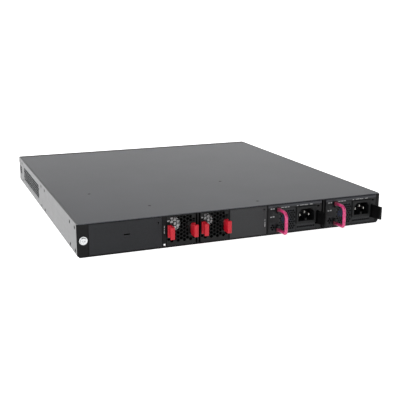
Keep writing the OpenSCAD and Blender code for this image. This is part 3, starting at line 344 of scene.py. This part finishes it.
def rolledMetal(name, plan):
    # sheet metal with its rolling lines along one axis, and the faint clouding of its plating
    material, tree, shader = newFinish(name, Metallic=plan.get("metallic", 1.0))
    place = addNode(tree, "ShaderNodeTexCoord").outputs["Object"]
    stretch = addNode(tree, "ShaderNodeMapping", {}, {"Vector": place, "Scale": plan["stretch"]})
    lines = addNode(tree, "ShaderNodeTexNoise", {}, {
        "Vector": stretch.outputs["Vector"], "Scale": 1 / (plan["line"] * mm), "Detail": 3.0})
    clouds = addNode(tree, "ShaderNodeTexNoise", {}, {
        "Vector": place, "Scale": 1 / (plan["cloud"] * mm), "Detail": 4.0, "Roughness": 0.6})
    both = addNode(tree, "ShaderNodeMath", {"operation": "MULTIPLY_ADD"}, {
        0: lines.outputs["Fac"], 1: metalLook["lineShare"], 2: clouds.outputs["Fac"]})
    mask = addNode(tree, "ShaderNodeMapRange", {}, {
        "Value": both.outputs["Value"], **metalLook["maskRange"]})
    colour = addNode(tree, "ShaderNodeMix", {"data_type": "RGBA"}, {
        0: mask.outputs["Result"], 6: hexColour(plan["dark"]), 7: hexColour(plan["light"])})
    tree.links.new(colour.outputs[2], shader.inputs["Base Color"])
    gloss = addNode(tree, "ShaderNodeMapRange", {}, {
        "Value": clouds.outputs["Fac"], **softRange,
        "To Min": plan["roughness"] - metalLook["glossChange"],
        "To Max": plan["roughness"] + metalLook["glossChange"]})
    tree.links.new(gloss.outputs["Result"], shader.inputs["Roughness"])
    bump = addNode(tree, "ShaderNodeBump", {}, {
        "Height": lines.outputs["Fac"], "Strength": plan["bump"], "Distance": metalLook["lineDepth"] * mm})
    tree.links.new(bump.outputs["Normal"], shader.inputs["Normal"])
    return material


def paintOver(material, mask, code):  # gives a finish another colour where the mask is 1
    tree = material.node_tree
    shader = tree.nodes["Principled BSDF"]
    coat = shader.inputs["Base Color"].links[0].from_socket
    colour = addNode(tree, "ShaderNodeMix", {"data_type": "RGBA"}, {0: mask, 6: coat, 7: hexColour(code)})
    tree.links.new(colour.outputs[2], shader.inputs["Base Color"])


faceShare = 0.8  # how far a surface has to face along the sheet's axis to be its face and not a hole's wall


def punchedSheet(name, plan):
    # a coated sheet with painted shade on the walls of its punched holes: they are painted nearly black, as
    # if little light got in
    material = texturedCoat(name, plan)
    tree = material.node_tree
    way = addNode(tree, "ShaderNodeTexCoord").outputs["Normal"]
    facing = addNode(tree, "ShaderNodeVectorMath", {"operation": "ABSOLUTE"}, {0: way}).outputs["Vector"]
    along = addNode(tree, "ShaderNodeSeparateXYZ", {}, {"Vector": facing}).outputs[plan["axis"]]
    # painted shade: surfaces that don't face along the sheet's axis are the hole walls, painted dark
    inHole = addNode(tree, "ShaderNodeMath", {"operation": "LESS_THAN"}, {0: along, 1: faceShare})
    paintOver(material, inHole.outputs["Value"], plan["hole"])
    return material


def paintedLightCoat(name, plan):
    # a textured coat that turns into a second tone between two places along an axis; the second tone is
    # painted light: painted shade behind the pulls' face, a painted highlight on the supplies' top rib
    material = texturedCoat(name, plan)
    tree = material.node_tree
    place = addNode(tree, "ShaderNodeTexCoord").outputs["Object"]
    along = addNode(tree, "ShaderNodeSeparateXYZ", {}, {"Vector": place}).outputs[plan["axis"]]
    tone = addNode(tree, "ShaderNodeMapRange", {}, {
        "Value": along, "From Min": plan["toneFrom"] * mm, "From Max": plan["toneTo"] * mm})
    # the painted tone goes over the coat here
    paintOver(material, tone.outputs["Result"], plan["tone"])
    return material


def dippedVinyl(name, plan):
    # a dipped coat runs a little uneven along the rod, with soft glossy lumps; painted shade darkens it
    # towards its roots at the hinge
    material, tree, shader = newFinish(name, Roughness=plan["roughness"])
    place = addNode(tree, "ShaderNodeTexCoord").outputs["Object"]
    lumps = addNode(tree, "ShaderNodeTexNoise", {}, {
        "Vector": place, "Scale": 1 / (plan["lump"] * mm), "Detail": 2.5, "Roughness": 0.55})
    shade = addNode(tree, "ShaderNodeMapRange", {}, {"Value": lumps.outputs["Fac"], **hardRange})
    body = addNode(tree, "ShaderNodeMix", {"data_type": "RGBA"}, {
        0: shade.outputs["Result"], 6: hexColour(plan["dark"]), 7: hexColour(plan["light"])})
    # painted shade: the colour falls to the root tone towards the hinge
    depth = addNode(tree, "ShaderNodeSeparateXYZ", {}, {"Vector": place}).outputs["Y"]
    root = addNode(tree, "ShaderNodeMapRange", {"interpolation_type": "SMOOTHSTEP"}, {
        "Value": depth, "From Min": plan["rootShadeFrom"] * mm, "From Max": plan["rootShadeTo"] * mm})
    colour = addNode(tree, "ShaderNodeMix", {"data_type": "RGBA"}, {
        0: root.outputs["Result"], 6: hexColour(plan["root"]), 7: body.outputs[2]})
    tree.links.new(colour.outputs[2], shader.inputs["Base Color"])
    bump = addNode(tree, "ShaderNodeBump", {}, {
        "Height": lumps.outputs["Fac"], "Strength": plan["bump"], "Distance": plan["depth"] * mm})
    tree.links.new(bump.outputs["Normal"], shader.inputs["Normal"])
    return material


trayFaceY = boxOf("fan_1_grille")[1].y
supplyTopZ = boxOf("psu_1_case")[1].z
bailTipY = cadHigh.y / mm

finishes = {  # grain, cloud, line, lump and depth are in mm
    # a thick baked powder: dull and finely pebbled, with a little blue in it
    "cover_powder_coat": texturedCoat("textured polyester powder coat, dark grey", {
        "dark": "2c2e32", "light": "4d4f56", "grain": 0.9, "cloud": 60, "roughness": 0.36,
        "bump": 0.25, "depth": 0.05}),
    # thin sprayed enamel: even and only half glossy
    "black_paint": texturedCoat("baked enamel, satin black", {
        "dark": "1c1d1f", "light": "28292c", "grain": 0.7, "cloud": 30, "roughness": 0.5,
        "specular": 0.22, "bump": 0.15, "depth": 0.03}),
    # the same enamel with more grey in it, so a blank cover stands out from the frame
    "grey_paint": texturedCoat("baked enamel, charcoal", {
        "dark": "17181a", "light": "242527", "grain": 0.7, "cloud": 30, "roughness": 0.5,
        "specular": 0.35, "bump": 0.15, "depth": 0.03}),
    # a primer dip: flat and slightly dusty
    "tray_paint": texturedCoat("electro-coat primer, black", {
        "dark": "101112", "light": "1a1b1c", "grain": 0.6, "cloud": 20, "roughness": 0.55,
        "specular": 0.3, "bump": 0.15, "depth": 0.03}),
    # a spark-eroded mould leaves a fine even grain that hides the gloss
    "black_moulding": texturedCoat("moulded polycarbonate, spark-eroded black", {
        "dark": "131415", "light": "1b1c1e", "grain": 0.5, "cloud": 15, "roughness": 0.5,
        "specular": 0.4, "bump": 0.2, "depth": 0.03}),
    # strong even red with a soft shine, and painted shade: near black on the pull behind the tray's face,
    # where its tang sits in the slot
    "red_moulding": paintedLightCoat("moulded polycarbonate, signal red, over blackened steel", {
        "dark": "9a0a1a", "light": "b61427", "grain": 0.6, "cloud": 8, "roughness": 0.42,
        # painted shade: the pull turns near black just behind the tray's face
        "specular": 0.3, "bump": 0.12, "depth": 0.02, "tone": "060606", "axis": "Y",
        "toneFrom": trayFaceY, "toneTo": trayFaceY - 0.4}),
    # a soft uneven skin over the rod, shiny on its lumps, with painted shade towards the hinge
    "magenta_coating": dippedVinyl("dip-coated vinyl, magenta", {
        "dark": "9c1f50", "light": "c23a72", "root": "4a0a1c", "roughness": 0.3, "lump": 2.6,
        "bump": 0.6, "depth": 0.5, "rootShadeFrom": bailTipY - 24, "rootShadeTo": bailTipY - 9}),
    # glass fibres near the skin make it a little cloudy
    "blue_moulding": texturedCoat("moulded glass-filled nylon, navy", {
        "dark": "101b3c", "light": "1b2b5c", "grain": 0.5, "cloud": 6, "roughness": 0.5,
        "bump": 0.15, "depth": 0.02}),
    # undyed nylon: a warm white, faintly mottled
    "white_moulding": texturedCoat("moulded nylon, natural white", {
        "dark": "cfcabd", "light": "dfdbcf", "grain": 0.6, "cloud": 8, "roughness": 0.5,
        "bump": 0.1, "depth": 0.02}),
    # the green mask lies a little unevenly over its glass cloth
    "circuit_board": texturedCoat("glass-epoxy laminate with green solder mask", {
        "dark": "0f3a22", "light": "1b5432", "grain": 1.5, "cloud": 12, "roughness": 0.4,
        "bump": 0.2, "depth": 0.04}),
    # milky and smooth, nearly white
    "light_lens": texturedCoat("diffusing polycarbonate lens", {
        "dark": "e2e4e6", "light": "f4f5f6", "grain": 0.5, "cloud": 4, "roughness": 0.3,
        "bump": 0.05, "depth": 0.01}),
    # bright grey with rolling lines along the sheet and faint clouds of zinc
    "zinc_plated_steel": rolledMetal("electro-galvanised steel sheet", {
        "dark": "6c6c6d", "light": "848485", "line": 1.2, "stretch": (1, 0.04, 1), "cloud": 22,
        "roughness": 0.5, "bump": 0.2, "metallic": 0.85}),
    # a bright tumbled finish without any direction
    "bright_screw": rolledMetal("nickel-plated steel", {
        "dark": "b9babb", "light": "d8d9da", "line": 0.4, "stretch": (1, 1, 1), "cloud": 2,
        "roughness": 0.3, "bump": 0.1}),
    # drawn strip: fine lines along the blade, slightly warm
    "plated_pin": rolledMetal("nickel-plated brass", {
        "dark": "b4b3ae", "light": "d2d1cc", "line": 0.3, "stretch": (1, 0.2, 1), "cloud": 3,
        "roughness": 0.3, "bump": 0.1}),
    # thin bright sheet with the lines of its stamping
    "cage_steel": rolledMetal("tin-plated spring steel", {
        "dark": "a9abac", "light": "c8cacb", "line": 0.4, "stretch": (1, 0.1, 1), "cloud": 8,
        "roughness": 0.35, "bump": 0.1}),
    # extruded fins: die lines along their length under a clear dull skin
    "heat_sink_aluminium": rolledMetal("clear-anodised aluminium extrusion", {
        "dark": "a2a5a7", "light": "bcbfc1", "line": 0.4, "stretch": (1, 0.05, 1), "cloud": 10,
        "roughness": 0.45, "bump": 0.15}),
}

# a crinkled bright sticker
foil = rolledMetal("printed aluminium foil sticker", {
    "dark": "a4a5a6", "light": "e4e5e6", "line": 1.5, "stretch": (1, 1, 1), "cloud": 3,
    "roughness": 0.3, "bump": 0.3})

# uncoated paper under a matt varnish, printed all over
navyPaper = texturedCoat("printed paper label, navy", {
    "dark": "10204e", "light": "1c3274", "grain": 0.6, "cloud": 3, "roughness": 0.5,
    "specular": 0.3, "bump": 0.1, "depth": 0.01})

# thin ink that lets some of the enamel through
printInk = texturedCoat("screen-printed ink, light grey", {
    "dark": "6e6f70", "light": "a4a5a6", "grain": 0.6, "cloud": 1.5, "roughness": 0.5,
    "specular": 0.3, "bump": 0.1, "depth": 0.01})

# near black and dull: painted shade in the bracket holes
holeShadeSteel = texturedCoat("black sleeve, painted shade", {
    "dark": "060606", "light": "0c0c0c", "grain": 0.4, "cloud": 2, "roughness": 0.8,
    "specular": 0.03, "bump": 0.1, "depth": 0.02})

# a black honeycomb with matt lands between its cells
trayFace = punchedSheet("electro-coated steel sheet, punched, black", {
    "dark": "0b0c0c", "light": "161718", "grain": 0.8, "cloud": 12, "roughness": 0.5,
    "specular": 0.18, "bump": 0.15, "depth": 0.03, "hole": "020202", "axis": "Y"})

# lands lighter than the holes behind them, whose walls carry painted shade
supplyMesh = punchedSheet("electro-coated steel mesh, black", {
    "dark": "131416", "light": "202225", "grain": 0.8, "cloud": 12, "roughness": 0.45,
    "specular": 0.25, "bump": 0.15, "depth": 0.03, "hole": "010101", "axis": "Y"})

# bare screen in the side wall, duller than the wall round it, painted darker as painted shade and near black
# in its holes
shadedVentSteel = punchedSheet("electro-galvanised steel screen, painted shade", {
    "dark": "5a5b5d", "light": "77787a", "grain": 0.8, "cloud": 8, "roughness": 0.5,
    "specular": 0.5, "bump": 0.15, "depth": 0.03, "hole": "08090a", "axis": "X"})

# nearly black and without shine, painted darker than the other black mouldings as painted shade, so it drops
# back behind the punched sheets
shadedBayNylon = texturedCoat("moulded glass-filled nylon, black, painted shade", {
    "dark": "040405", "light": "08080a", "grain": 0.8, "cloud": 12, "roughness": 0.6,
    "specular": 0.15, "bump": 0.1, "depth": 0.02})

# a polished mould, painted nearly black as painted shade over the blade's sides; its rounded edges catch a
# pale gleam
shadedLatchNylon = texturedCoat("moulded nylon, polished black, painted shade", {
    "dark": "040404", "light": "080809", "grain": 0.5, "cloud": 10, "roughness": 0.4,
    "specular": 0.16, "bump": 0.15, "depth": 0.02})

# the frame's enamel is the blackest and least shiny of all
frameEnamel = texturedCoat("baked enamel, matt black", {
    "dark": "0b0b0c", "light": "131314", "grain": 0.7, "cloud": 30, "roughness": 0.5,
    "specular": 0.12, "bump": 0.15, "depth": 0.03})

# the blank cover beside the trays is a little bluer and lighter than the frame
slotEnamel = texturedCoat("baked enamel, satin blue-black", {
    "dark": "17181a", "light": "222326", "grain": 0.7, "cloud": 30, "roughness": 0.5,
    "specular": 0.18, "bump": 0.15, "depth": 0.03})

# dark enamel with a painted highlight: a paler band along the rib at the top, where the light falls
supplyEnamel = paintedLightCoat("baked enamel, charcoal, painted highlight along the top", {
    "dark": "0d0e0f", "light": "151618", "grain": 0.7, "cloud": 30, "roughness": 0.46,
    # painted highlight: the paler tone over the top rib
    "specular": 0.2, "bump": 0.15, "depth": 0.03, "tone": "36373b", "axis": "Z",
    "toneFrom": supplyTopZ - 4.2, "toneTo": supplyTopZ - 3.2})

# heat-proof polyester: dense and dark, with a low sheen
inletPolyester = texturedCoat("moulded thermoplastic polyester, black", {
    "dark": "090a0b", "light": "101112", "grain": 0.5, "cloud": 15, "roughness": 0.45,
    "specular": 0.2, "bump": 0.15, "depth": 0.02})

ownFinish = {  # nodes whose finish differs from their slot's usual one
    "rear_frame": frameEnamel, "fan_bay_divider": frameEnamel, "psu_bay_divider": frameEnamel,
    "module_slot_cover": slotEnamel, "vent_screens": shadedVentSteel,
}
for n in (1, 2):
    ownFinish |= {
        f"fan_{n}_grille": trayFace, f"fan_{n}_tray": shadedBayNylon, f"fan_{n}_housing": shadedBayNylon,
        f"fan_{n}_rotor": shadedBayNylon, f"psu_{n}_fan_housing": shadedBayNylon, f"psu_{n}_face": supplyEnamel,
        f"psu_{n}_vents": supplyMesh, f"psu_{n}_inlet": inletPolyester,
    }


def coatNodes():
    for part in frame["record"]["subparts"]:
        node = nodes[part["node"]]
        node.data.materials.clear()
        node.data.materials.append(ownFinish.get(part["node"], finishes[part["material_slot"]]))


coatNodes()
print("stage 2: finishes on the metalwork and mouldings", len(nodes))


cadEdgePlan = {
    "merge": 0.005, "segments": 2, "angle": 50,  # mm between the triangles' corners, and degrees
    "widths": {
        "top_cover": 0.3, "rear_frame": 0.25, "front_panel": 0.3,
        "ground_screw": 0.2, "status_light": 0.25, "service_jacks": 0.4, "usb_socket": 0.15,
        "fan_1_housing": 0.4, "fan_2_housing": 0.4, "psu_1_inlet": 0.45, "psu_2_inlet": 0.45,
        "psu_1_face": 0.3, "psu_2_face": 0.3, "fan_bay_divider": 0.4, "psu_bay_divider": 0.4,
    },
}


def roundCad(plan):  # the CAD's loose triangles are welded, then their edges are rounded
    for name, width in plan["widths"].items():
        node = nodes[name]
        weld = node.modifiers.new("weld", "WELD")
        weld.merge_threshold = plan["merge"] * mm
        rounding = node.modifiers.new("rounding", "BEVEL")
        rounding.width = width * mm
        rounding.segments = plan["segments"]
        rounding.limit_method = "ANGLE"
        rounding.angle_limit = math.radians(plan["angle"])
        shading = node.modifiers.new("shading", "WEIGHTED_NORMAL")
        shading.weight = 100
        shading.keep_sharp = False


roundCad(cadEdgePlan)
print("stage 3: rounded edges on", len(cadEdgePlan["widths"]), "nodes")


rearFaceY = boxOf("rear_frame")[1].y  # the plane of the frame's and the supplies' faces

gripPlan = {
    "standOff": 0.3,  # from the tray's face to the pull's foot
    "foot": 2.6, "flange": 3.2,  # thickness of the plate at the face and of the plate that is pinched
    "height": 16.5, "middleUp": 20.4,  # above the tray's underside
    "tangShort": 2.0, "tangLong": 12.3, "rounding": 0.9,
}


def makeGrips(plan):
    # a C-shaped pull, open away from the tray's middle, with the tang that reaches through the slot
    low, high = boxOf("fan_1_left_grip")
    foot = trayFaceY + plan["standOff"]
    middle = boxOf("fan_1_tray")[0].z + plan["middleUp"]
    z0, z1 = middle - plan["height"] / 2, middle + plan["height"] / 2
    stem = low.x + plan["foot"]
    gap = (foot + plan["foot"], high.y - plan["flange"])
    grip = startBlock("fan1LeftGrip", (low.x, foot, z0), (stem, high.y, z1))
    for y in gap:
        cut((0, y, 0), (0, 1, 0))
    pick(grip, lambda at, way: way.x > 0.9 and not gap[0] < at.y < gap[1])
    push(x=high.x - stem)
    for z in (z0 + plan["tangShort"], z1 - plan["tangShort"]):
        cut((0, 0, z), (0, 0, 1))
    pick(grip, lambda at, way: way.y < -0.9 and at.x < stem and abs(at.z - middle) < 1
         and at.y < foot + 0.1)
    push(y=-plan["tangLong"])
    closeEdit(grip, plan["rounding"], 3)
    red = finishes["red_moulding"]
    settle(grip, red, "fan_1_left_grip", "red_moulding", "fan_1_left_grip")
    trayMiddle = [sum(corner.x for corner in boxOf(f"fan_{n}_tray")) / 2 for n in (1, 2)]
    for n, side in ((1, "right"), (2, "left"), (2, "right")):
        shift = trayMiddle[n - 1] - trayMiddle[0]
        node = f"fan_{n}_{side}_grip"
        twin = copyPiece(grip, f"fan{n}{side.capitalize()}Grip", (shift, 0, 0),
                         trayMiddle[0] if side == "right" else None)
        settle(twin, red, node, "red_moulding", node)


bailPlan = {
    "rod": 4.5, "sides": 20, "bendSteps": 10, "backSteps": 4,
    "lowUp": 5.8, "topUp": 34.3,  # height of the two legs above the supply's underside
    "lowBend": 4.0, "topBend": 8.0,
    "eyeRadius": 2.85, "eyeHeight": 4.9, "eyeSides": 24, "pinBore": 1.25,
}


def bendRod(plan, middle):  # a quarter turn of the open end, about a middle in mm
    bpy.ops.mesh.spin(steps=plan["bendSteps"], angle=math.pi / 2, axis=(-1, 0, 0),
                      center=Vector(middle) * mm)


def makeBails(plan):
    # a bent rod with a turned eye at the end of each leg
    low, high = boxOf("psu_1_bail")
    under = boxOf("psu_1_case")[0].z
    pivot = Vector(((low.x + high.x) / 2, low.y + plan["eyeRadius"], 0))
    z0, z1 = under + plan["lowUp"], under + plan["topUp"]
    legEnd = pivot.y + plan["pinBore"]
    out = high.y - plan["rod"] / 2
    deselectAll()
    bpy.ops.mesh.primitive_circle_add(vertices=plan["sides"], radius=plan["rod"] / 2 * mm,
                                      rotation=(-math.pi / 2, 0, 0))
    bail = bpy.context.object
    bail.name = bail.data.name = "psu1Bail"
    bpy.ops.object.transform_apply(rotation=True)
    bpy.ops.object.mode_set(mode="EDIT")
    bpy.ops.transform.translate(value=Vector((pivot.x, legEnd, z0)) * mm)
    push(y=out - plan["lowBend"] - legEnd)
    bendRod(plan, (pivot.x, out - plan["lowBend"], z0 + plan["lowBend"]))
    for step in range(plan["backSteps"]):
        push(z=(z1 - z0 - plan["lowBend"] - plan["topBend"]) / plan["backSteps"])
    bendRod(plan, (pivot.x, out - plan["topBend"], z1 - plan["topBend"]))
    push(y=legEnd - out + plan["topBend"])
    for z in (z0, z1):
        bpy.ops.mesh.select_all(action="DESELECT")
        bpy.ops.mesh.primitive_cylinder_add(
            vertices=plan["eyeSides"], radius=plan["eyeRadius"] * mm, depth=plan["eyeHeight"] * mm,
            end_fill_type="NOTHING", location=Vector((pivot.x, pivot.y, z)) * mm)
    bpy.ops.mesh.select_all(action="SELECT")
    bpy.ops.mesh.fill_holes(sides=0)
    closeEdit(bail, smooth=50)
    vinyl = finishes["magenta_coating"]
    settle(bail, vinyl, "psu_1_bail", "magenta_coating", "psu_1_bail")
    twin = copyPiece(bail, "psu2Bail", (boxOf("psu_2_bail")[0].x - low.x, 0, 0))
    settle(twin, vinyl, "psu_2_bail", "magenta_coating", "psu_2_bail")


latchPlan = {
    "root": 2.2, "tip": 2.8,  # thickness at the face and at the tip
    "armIn": 24.0,  # length of the arm behind the face
    "neck": 1.0, "tipLong": 2.0, "lean": 3.4,  # the straight ends and the sideways lean between them
    "pinEnd": 1.8,  # how far the CAD node's pivot pins reach past the blade
    "border": 1.5, "hollow": 0.45, "rounding": 0.45,
}


def makeLatches(plan):
    # a leaning blade with a raised border round each side, thicker at the tip, on a flat arm
    low, high = boxOf("psu_1_latch")
    z0, z1 = low.z + plan["pinEnd"], high.z - plan["pinEnd"]
    neckEnd, tipStart = rearFaceY + plan["neck"], high.y - plan["tipLong"]
    latch = startBlock("psu1Latch", (high.x - plan["root"], rearFaceY - plan["armIn"], z0),
                       (high.x, rearFaceY, z1))
    pick(latch, lambda at, way: way.y > 0.9)
    push(y=plan["neck"])
    push(x=-plan["lean"], y=tipStart - neckEnd)
    bpy.ops.transform.resize(value=(plan["tip"] / plan["root"], 1, 1))
    push(y=plan["tipLong"])
    for side in (-1, 1):
        pick(latch, lambda at, way: way.x * side > 0.8 and neckEnd < at.y < tipStart)
        bpy.ops.mesh.inset(thickness=plan["border"] * mm, depth=-plan["hollow"] * mm, use_even_offset=True)
    closeEdit(latch, plan["rounding"], 2, 35)
    settle(latch, shadedLatchNylon, "psu_1_latch", "black_moulding", "psu_1_latch")
    twin = copyPiece(latch, "psu2Latch", (boxOf("psu_2_latch")[0].x - low.x, 0, 0))
    settle(twin, shadedLatchNylon, "psu_2_latch", "black_moulding", "psu_2_latch")


pinPlan = {"thick": 2.0, "tall": 4.0, "taper": 1.2, "tip": (0.5, 1, 0.75), "rounding": 0.35}


def makePins(plan):
    # three flat blades with tapered tips
    low, high = boxOf("psu_1_inlet_pins")
    half = plan["thick"] / 2
    blades = []
    for x, top in (((low.x + high.x) / 2, high.z), (low.x + half, low.z + plan["tall"]),
                   (high.x - half, low.z + plan["tall"])):
        blade = startBlock(f"blade{len(blades)}", (x - half, low.y, top - plan["tall"]),
                           (x + half, high.y - plan["taper"], top))
        pick(blade, lambda at, way: way.y > 0.9)
        push(y=plan["taper"])
        bpy.ops.transform.resize(value=plan["tip"])
        closeEdit(blade, plan["rounding"], 2, 25)
        blades.append(blade)
    pins = joinInto("psu1Pins", blades)
    settle(pins, finishes["plated_pin"], "psu_1", "plated_pin", "psu_1_inlet_pins")
    twin = copyPiece(pins, "psu2Pins", (boxOf("psu_2_inlet_pins")[0].x - low.x, 0, 0))
    settle(twin, finishes["plated_pin"], "psu_2", "plated_pin", "psu_2_inlet_pins")


makeGrips(gripPlan)
makeBails(bailPlan)
makeLatches(latchPlan)
makePins(pinPlan)
print("stage 4: pulls, bails, latches and inlet pins")


def makeDashes(name, y, places, plan, body):
    # printed dashes on a face at Y; each place is its low X, low Z, width and height
    dashes = []
    for x, z, wide, tall in places:
        dash = startBlock(f"dash{len(dashes)}", (x, y - plan["under"], z),
                          (x + wide, y + plan["ink"], z + tall))
        pick(dash, lambda at, way: way.y > 0.9)
        rim(plan["soft"], plan["crown"])
        closeEdit(dash)
        dashes.append(dash)
    settle(joinInto(name, dashes), printInk, body, "light_lens")


markPlan = {
    "ink": 0.06, "under": 0.02, "soft": 0.12, "crown": -0.02,  # layer, its base, its soft edge and its middle
    # beside the windows and above the inlet: from the supply's bail side, height, width and height of each
    "supply": [(3.4, 34.0, 2.4, 1.6), (7.0, 34.2, 2.8, 1.4), (3.0, 22.9, 2.8, 1.3), (6.8, 22.9, 2.6, 1.6),
               (19.4, 35.1, 4.0, 1.2), (24.4, 35.1, 4.2, 1.2), (29.6, 35.1, 2.4, 1.2),
               (43.6, 35.6, 2.2, 1.0), (48.6, 35.7, 5.6, 1.1), (55.2, 35.7, 5.8, 1.1),
               (64.0, 35.8, 4.6, 1.1)],
    # up the status strip: height, width and height of each
    "strip": [(19.0, 0.9, 3.4), (23.6, 0.9, 2.0), (26.8, 0.9, 3.0)],
    # up the middle cover's far end: from that end, height, width and height of each
    "cover": [(2.4, 13.0, 1.1, 4.6), (2.4, 18.4, 1.1, 1.4), (2.4, 21.6, 1.1, 1.6)],
}


def makeMarks(plan):
    # plain dashes that spell nothing, in the places where such a unit carries its print
    for n in (1, 2):
        low, high = boxOf(f"psu_{n}_case")
        places = [(high.x - across - wide, low.z + up, wide, tall)
                  for across, up, wide, tall in plan["supply"]]
        makeDashes(f"psu{n}Marks", rearFaceY, places, plan, f"psu_{n}")
    low, high = boxOf("middle_cover")
    places = [(low.x + inside - wide / 2, up, wide, tall) for inside, up, wide, tall in plan["cover"]]
    makeDashes("coverMarks", high.y, places, plan, "chassis")
    low, high = boxOf("status_light")
    places = [((low.x + high.x) / 2 - wide / 2, up, wide, tall) for up, wide, tall in plan["strip"]]
    makeDashes("stripMarks", rearFaceY, places, plan, "chassis")


hubLabelPlan = {
    "lift": 0.02, "thick": 0.12, "sides": 48,
    "rim": 0.5, "slope": 0.2, "rise": 0.05,  # an embossed edge
    "trayRadius": 9.6, "supplyRadius": 6.4,
    "supplyShift": (-2.4, -2.2),  # the supplies' labels were stuck on off centre
    "dashAt": (-3.0, -4.4), "dashSize": (4.6, 1.6),
    "ink": 0.06, "under": 0.05, "soft": 0.2, "crown": 0.02,
}


def makeHubLabel(name, fan, radius, shift, plan):  # a round sticker with an embossed rim, on a fan's hub
    low, high = boxOf(fan)
    x, z = (low.x + high.x) / 2 + shift[0], (low.z + high.z) / 2 + shift[1]
    label = startDisc(name, (x, high.y + plan["lift"], z), radius, plan["sides"])
    bpy.ops.mesh.select_all(action="SELECT")
    push(y=plan["thick"])
    rim(plan["rim"])
    rim(plan["slope"], -plan["rise"])
    closeEdit(label, smooth=20)
    return label, Vector((x, high.y + plan["thick"], z))


def makeHubLabels(plan):
    (wide, tall), (right, up) = plan["dashSize"], plan["dashAt"]
    for n in (1, 2):
        label, middle = makeHubLabel(f"fan{n}HubLabel", f"fan_{n}_housing", plan["trayRadius"],
                                     (0, 0), plan)
        settle(label, foil, f"fan_tray_{n}", "bright_screw")
    for n in (1, 2):
        label, middle = makeHubLabel(f"psu{n}HubLabel", f"psu_{n}_fan_housing", plan["supplyRadius"],
                                     plan["supplyShift"], plan)
        settle(label, navyPaper, f"psu_{n}", "blue_moulding")
        makeDashes(f"psu{n}HubDash", middle.y,
                   [(middle.x + right - wide / 2, middle.z + up - tall / 2, wide, tall)], plan, f"psu_{n}")


windowPlan = {
    # from the supply's bail side, height, width and height of each
    "places": [(5.0, 26.2, 3.0, 4.6), (9.0, 26.2, 3.0, 4.6)],
    "frame": 0.5, "slope": 0.15, "deep": 0.25, "proud": 0.2, "sunk": 0.3, "rounding": 0.08,
}


def makeWindows(plan):
    # smoked light windows, each with a raised rim
    for n in (1, 2):
        low, high = boxOf(f"psu_{n}_case")
        panes = []
        for across, up, wide, tall in plan["places"]:
            x, z = high.x - across, low.z + up
            pane = startBlock(f"pane{len(panes)}", (x - wide, rearFaceY - plan["sunk"], z),
                              (x, rearFaceY + plan["proud"], z + tall))
            pick(pane, lambda at, way: way.y > 0.9)
            rim(plan["frame"])
            rim(plan["slope"], -plan["deep"])
            closeEdit(pane, plan["rounding"], 2)
            panes.append(pane)
        settle(joinInto(f"psu{n}Windows", panes), finishes["black_moulding"], f"psu_{n}", "black_moulding")


holeShadePlan = {
    "body": 1.65, "flange": 2.5, "bore": 1.25,  # radii
    "deep": 1.1, "seat": 0.01, "proud": 0.06,  # from the wall's outside, inwards and outwards
    "sides": 20,
    "pitchY": 28.0, "pitchZ": 29.6, "up": 22.4,  # each bracket's four screws, and the height of their middle
    "middles": [19.0, 232.5, 436.0],  # the brackets' places from the port panel
}


def makeHoleShades(plan):
    # flanged black sleeves in the bracket holes of both side walls: dark parts that paint the holes' shade
    low, high = boxOf("base_tray")
    front = boxOf("front_panel")[0].y
    spread = plan["flange"] / plan["body"]
    shadeSleeves = []
    for out, wall in ((1, high.x), (-1, low.x)):
        for middle in plan["middles"]:
            for dy, dz in ((-0.5, -0.5), (-0.5, 0.5), (0.5, -0.5), (0.5, 0.5)):
                place = (wall - out * plan["deep"], front + middle + dy * plan["pitchY"],
                         plan["up"] + dz * plan["pitchZ"])
                shadeSleeve = startDisc(f"insert{len(shadeSleeves)}", place, plan["body"], plan["sides"], "X")
                bpy.ops.mesh.select_all(action="SELECT")
                push(x=out * (plan["deep"] + plan["seat"]))
                push(x=out * (plan["proud"] - plan["seat"]))
                bpy.ops.transform.resize(value=(1, spread, spread))
                rim(plan["flange"] - plan["bore"])
                push(x=-out * plan["deep"])
                closeEdit(shadeSleeve, smooth=40)
                shadeSleeves.append(shadeSleeve)
    settle(joinInto("bracketHoleShades", shadeSleeves), holeShadeSteel, "chassis", "zinc_plated_steel")


makeHubLabels(hubLabelPlan)
makeMarks(markPlan)
makeWindows(windowPlan)
makeHoleShades(holeShadePlan)
# the bracket inserts in this print are the painted shade in the bracket holes
print("stage 5: hub labels, marks, windows and bracket inserts")
